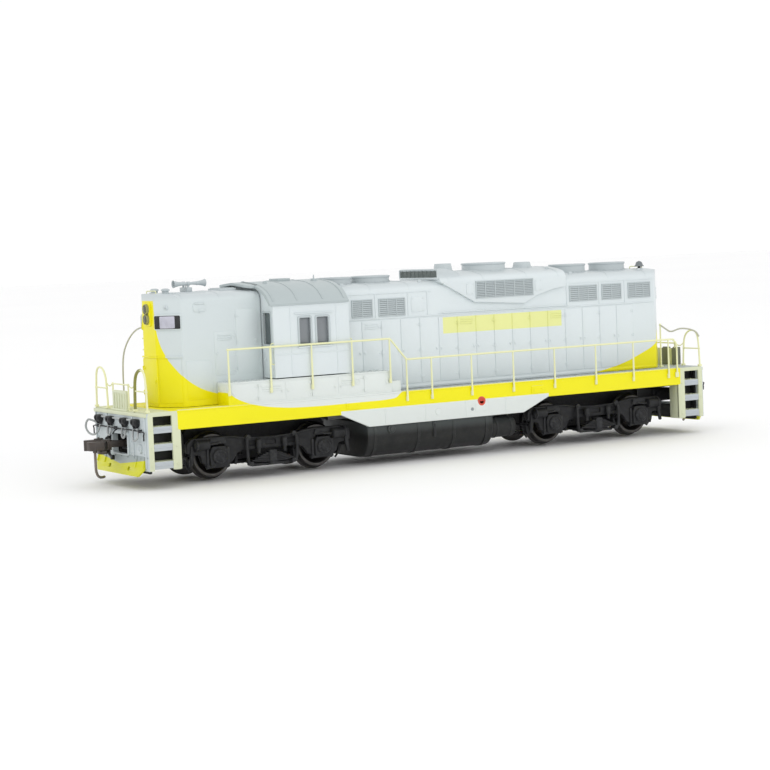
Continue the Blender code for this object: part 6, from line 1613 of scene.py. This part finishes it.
def truck(end, s):
    for t, side in ((1, "left"), (-1, "right")):
        sh = Shape()
        sideframe(sh, t)
        sh.shift(dx=s * TRUCK_X)
        piece(sh, "sideframe_%s_%s" % (end, side), [M_BLACK], "truck_" + end, "truck_frame_" + end if t > 0 else (), 34)
    sh = Shape()
    # keeper plate, brake beams across, bolster ends
    plate = boolean(raw(bm_prism("z", rounded(-21.2, 21.2, -4.3, 4.3, 0.8), 2.3, 3.1)), "DIFFERENCE", *[raw(bm_prism("z", rounded(x - 4.2, x + 4.2, -2.0, 2.0, 0.5), 0, 5)) for x in (-AXLE_DX, AXLE_DX)])
    sh.put(to_bm(plate, 0.12, 3))
    for x in (-9.6, -3.6, 3.6, 9.6):
        for y in (-3.2, 3.2):
            sh.bolt("z", x, y, 2.3, -1, 0.4, 0.25, 1)
    sh.box(-3.6, 3.6, -12.4, 12.4, 2.3, 3.1, 0, 0.2, 3)
    for k in (-2.2, 0.0, 2.2):
        sh.box(k - 0.3, k + 0.3, -12.0, -4.4, 1.95, 2.5, 0, 0.14)
        sh.box(k - 0.3, k + 0.3, 4.4, 12.0, 1.95, 2.5, 0, 0.14)
    for x in (-23.7, 23.7):
        sh.rod("y", x, 5.8, 0.42, -11.9, 11.9, 0, 14, 0.06)
    for x in (-8.05, 8.05):
        for t in (1, -1):
            sh.rod("y", x, 5.8, 0.38, t * 4.5, t * 11.9, 0, 14, 0.06)
    sh.shift(dx=s * TRUCK_X)
    piece(sh, "truck_keeper_%s" % end, [M_BLACK, M_STEEL], "truck_" + end, ())


def wheels(end, s):
    a, R = 7.2, WHEEL_R
    fr = R + RAIL_Z
    for d, label in ((s, "outer"), (-s, "inner")):
        cx = d * AXLE_DX
        for t, side in ((1, "left"), (-1, "right")):
            sh = Shape()
            tyre = [(a + 0.02, 4.7), (a, fr - 0.35), (a + 0.06, fr - 0.12), (a + 0.2, fr - 0.02), (a + 0.38, fr), (a + 0.54, fr - 0.08), (a + 0.66, fr - 0.3), (a + 0.78, R + 0.18), (a + 0.95, R + 0.06), (a + 1.6, R - 0.02), (a + 2.62, R - 0.1), (a + 2.76, R - 0.2), (a + 2.8, R - 0.4), (a + 2.8, 4.95), (a + 2.65, 4.8)]
            sh.lathe("y", cx, WHEEL_R, [(t * w, r) for w, r in tyre], 0, 72, bored=True)
            web = [(a + 0.1, 1.02), (a + 0.05, 4.85), (a + 2.6, 4.88), (a + 2.35, 4.5), (a + 1.9, 4.1), (a + 1.55, 3.5), (a + 1.5, 2.6), (a + 1.7, 2.1), (a + 2.1, 1.85), (a + 2.2, 1.7), (a + 2.2, 1.02)]
            sh.lathe("y", cx, WHEEL_R, [(t * w, r) for w, r in web], 1, 72, bored=True)
            for k in range(8):
                ang = 2 * math.pi * k / 8
                sh.lathe("y", cx + 3.0 * math.cos(ang), WHEEL_R + 3.0 * math.sin(ang), [(t * (a + 1.3), 0.42), (t * (a + 1.72), 0.40), (t * (a + 1.78), 0.3), (t * (a + 1.62), 0.24), (t * (a + 1.62), 0.0)], 1, 16)
            sh.lathe("y", cx, WHEEL_R, [(t * (a + 2.0), 1.0), (t * 9.28, 0.98), (t * 9.34, 0.85), (t * 9.34, 0.3), (t * 9.2, 0.2), (t * 9.2, 0.0)], 2, 28)
            sh.shift(dx=s * TRUCK_X)
            piece(sh, "wheel_detail_%s_%s_%s" % (end, label, side), [M_TYRE, M_WHEEL, M_STEEL], "wheelset_%s_%s" % (end, label), "wheel_%s_%s_%s" % (end, label, side), 30)


M_CABLEBOX = moulded("cable_box", S(92, 96, 88), 0.6, sheen=S(130, 134, 126), edge_wear_and_highlight=0.15, texture=0.3, spec=0.3, dust=0.1)
M_PIN = metal("trip_pin_wire", (0.22, 0.19, 0.17), 0.35, tarnish=(0.12, 0.07, 0.045), amount=0.5)

deck()
sills()
battery_boxes()
for s, end in ((1, "front"), (-1, "rear")):
    for t, side in ((1, "left"), (-1, "right")):
        corner_steps(s, t, "steps_%s_%s" % (end, side))
    pilot(s, "pilot_" + end)
    plow(s, "plow_" + end)
    end_rail(s, "end_rail_" + end, "end_railing_" + end)
    hoses(s, "hose_set_" + end, "mu_hoses_" + end)
    coupler_pocket(s, "coupler_pocket_" + end, "coupler_box_" + end)
    coupler_head(s, "coupler_body_" + end, "coupler_shank_" + end, "coupler_" + end)
    knuckle(s, "knuckle_jaw_" + end, "coupler_knuckle_" + end, "knuckle_" + end)
    truck(end, s)
    wheels(end, s)
side_rail(1, "side_rail_left", "handrail_left")
side_rail(-1, "side_rail_right", "handrail_right")
tank()

# ================================================================== carried-over CAD nodes
CARRIED = {"chassis_weight": M_CAST, "motor_housing": M_CAST, "armature_shaft": M_COPPER, "circuit_board": M_BOARD}
for end in ("front", "rear"):
    CARRIED["flywheel_" + end] = M_BRASS
    CARRIED["drive_shaft_" + end] = M_BLACK
    CARRIED["gearbox_" + end] = M_BLACK
    CARRIED["worm_" + end] = M_BRASS
    CARRIED["centre_gear_" + end] = M_ACETAL
    for label in ("outer", "inner"):
        CARRIED["idler_gear_%s_%s" % (end, label)] = M_ACETAL
        CARRIED["axle_%s_%s" % (end, label)] = M_ACETAL
for name, material in CARRIED.items():
    me = frame["nodes"][name].data
    me.materials.clear()
    me.materials.append(material)


# ================================================================== floor, light, camera
def stage_and_light():
    scene = bpy.context.scene
    bm = bmesh.new()
    for x, y in ((-4, -4), (4, -4), (4, 4), (-4, 4)):
        bm.verts.new((x, y, -0.0004))
    bm.faces.new(bm.verts)
    me = bpy.data.meshes.new("floor")
    bm.to_mesh(me)
    bm.free()
    floor = bpy.data.objects.new("floor", me)
    scene.collection.objects.link(floor)
    g = Graph("floor_finish")
    g.sockets(Base_Color=g.mix(g.remap(g.noise(3.0), 0.3, 0.7, 0.0, 1.0), (0.97, 0.97, 0.97), (0.955, 0.955, 0.96)), Roughness=g.remap(g.noise(9.0), 0.3, 0.7, 0.75, 0.85))
    me.materials.append(g.mat)
    world = bpy.data.worlds.new("studio")
    scene.world = world
    world.use_nodes = True
    bg = world.node_tree.nodes["Background"]
    bg.inputs[0].default_value = (1.0, 1.0, 1.0, 1.0)
    bg.inputs[1].default_value = 1.02
    def lamp(name, at, to, size, power):
        data = bpy.data.lights.new(name, "AREA")
        data.shape, data.size, data.size_y, data.energy = "RECTANGLE", size, size * 0.7, power
        ob = bpy.data.objects.new(name, data)
        ob.location = at
        ob.rotation_euler = (Vector(to) - Vector(at)).to_track_quat("-Z", "Y").to_euler()
        scene.collection.objects.link(ob)
    lamp("key", (-0.15, 0.95, 0.5), (0, 0, 0.02), 0.6, 1.2)
    lamp("fill", (0.9, 0.2, 0.4), (0, 0, 0.02), 0.5, 0.3)
    scene.view_settings.view_transform = "Standard"
    scene.view_settings.look = "None"
    cd = bpy.data.cameras.new("camera")
    cam = bpy.data.objects.new("camera", cd)
    scene.collection.objects.link(cam)
    C = Vector((297.526, 489.158, 59.691 + 0.7)) * 0.001
    fw = Vector((-0.50549005, -0.85999475, -0.0699203)).normalized()
    r = Vector((-0.85989612, 0.50879276, -0.04133519)).normalized()
    up = r.cross(fw).normalized()
    cam.matrix_world = Matrix(((r.x, up.x, -fw.x, C.x), (r.y, up.y, -fw.y, C.y), (r.z, up.z, -fw.z, C.z), (0, 0, 0, 1)))
    cd.sensor_width = 36
    cd.lens = 1993.53 / 770 * 36
    cd.clip_start, cd.clip_end = 0.01, 50
    scene.camera = cam


stage_and_light()
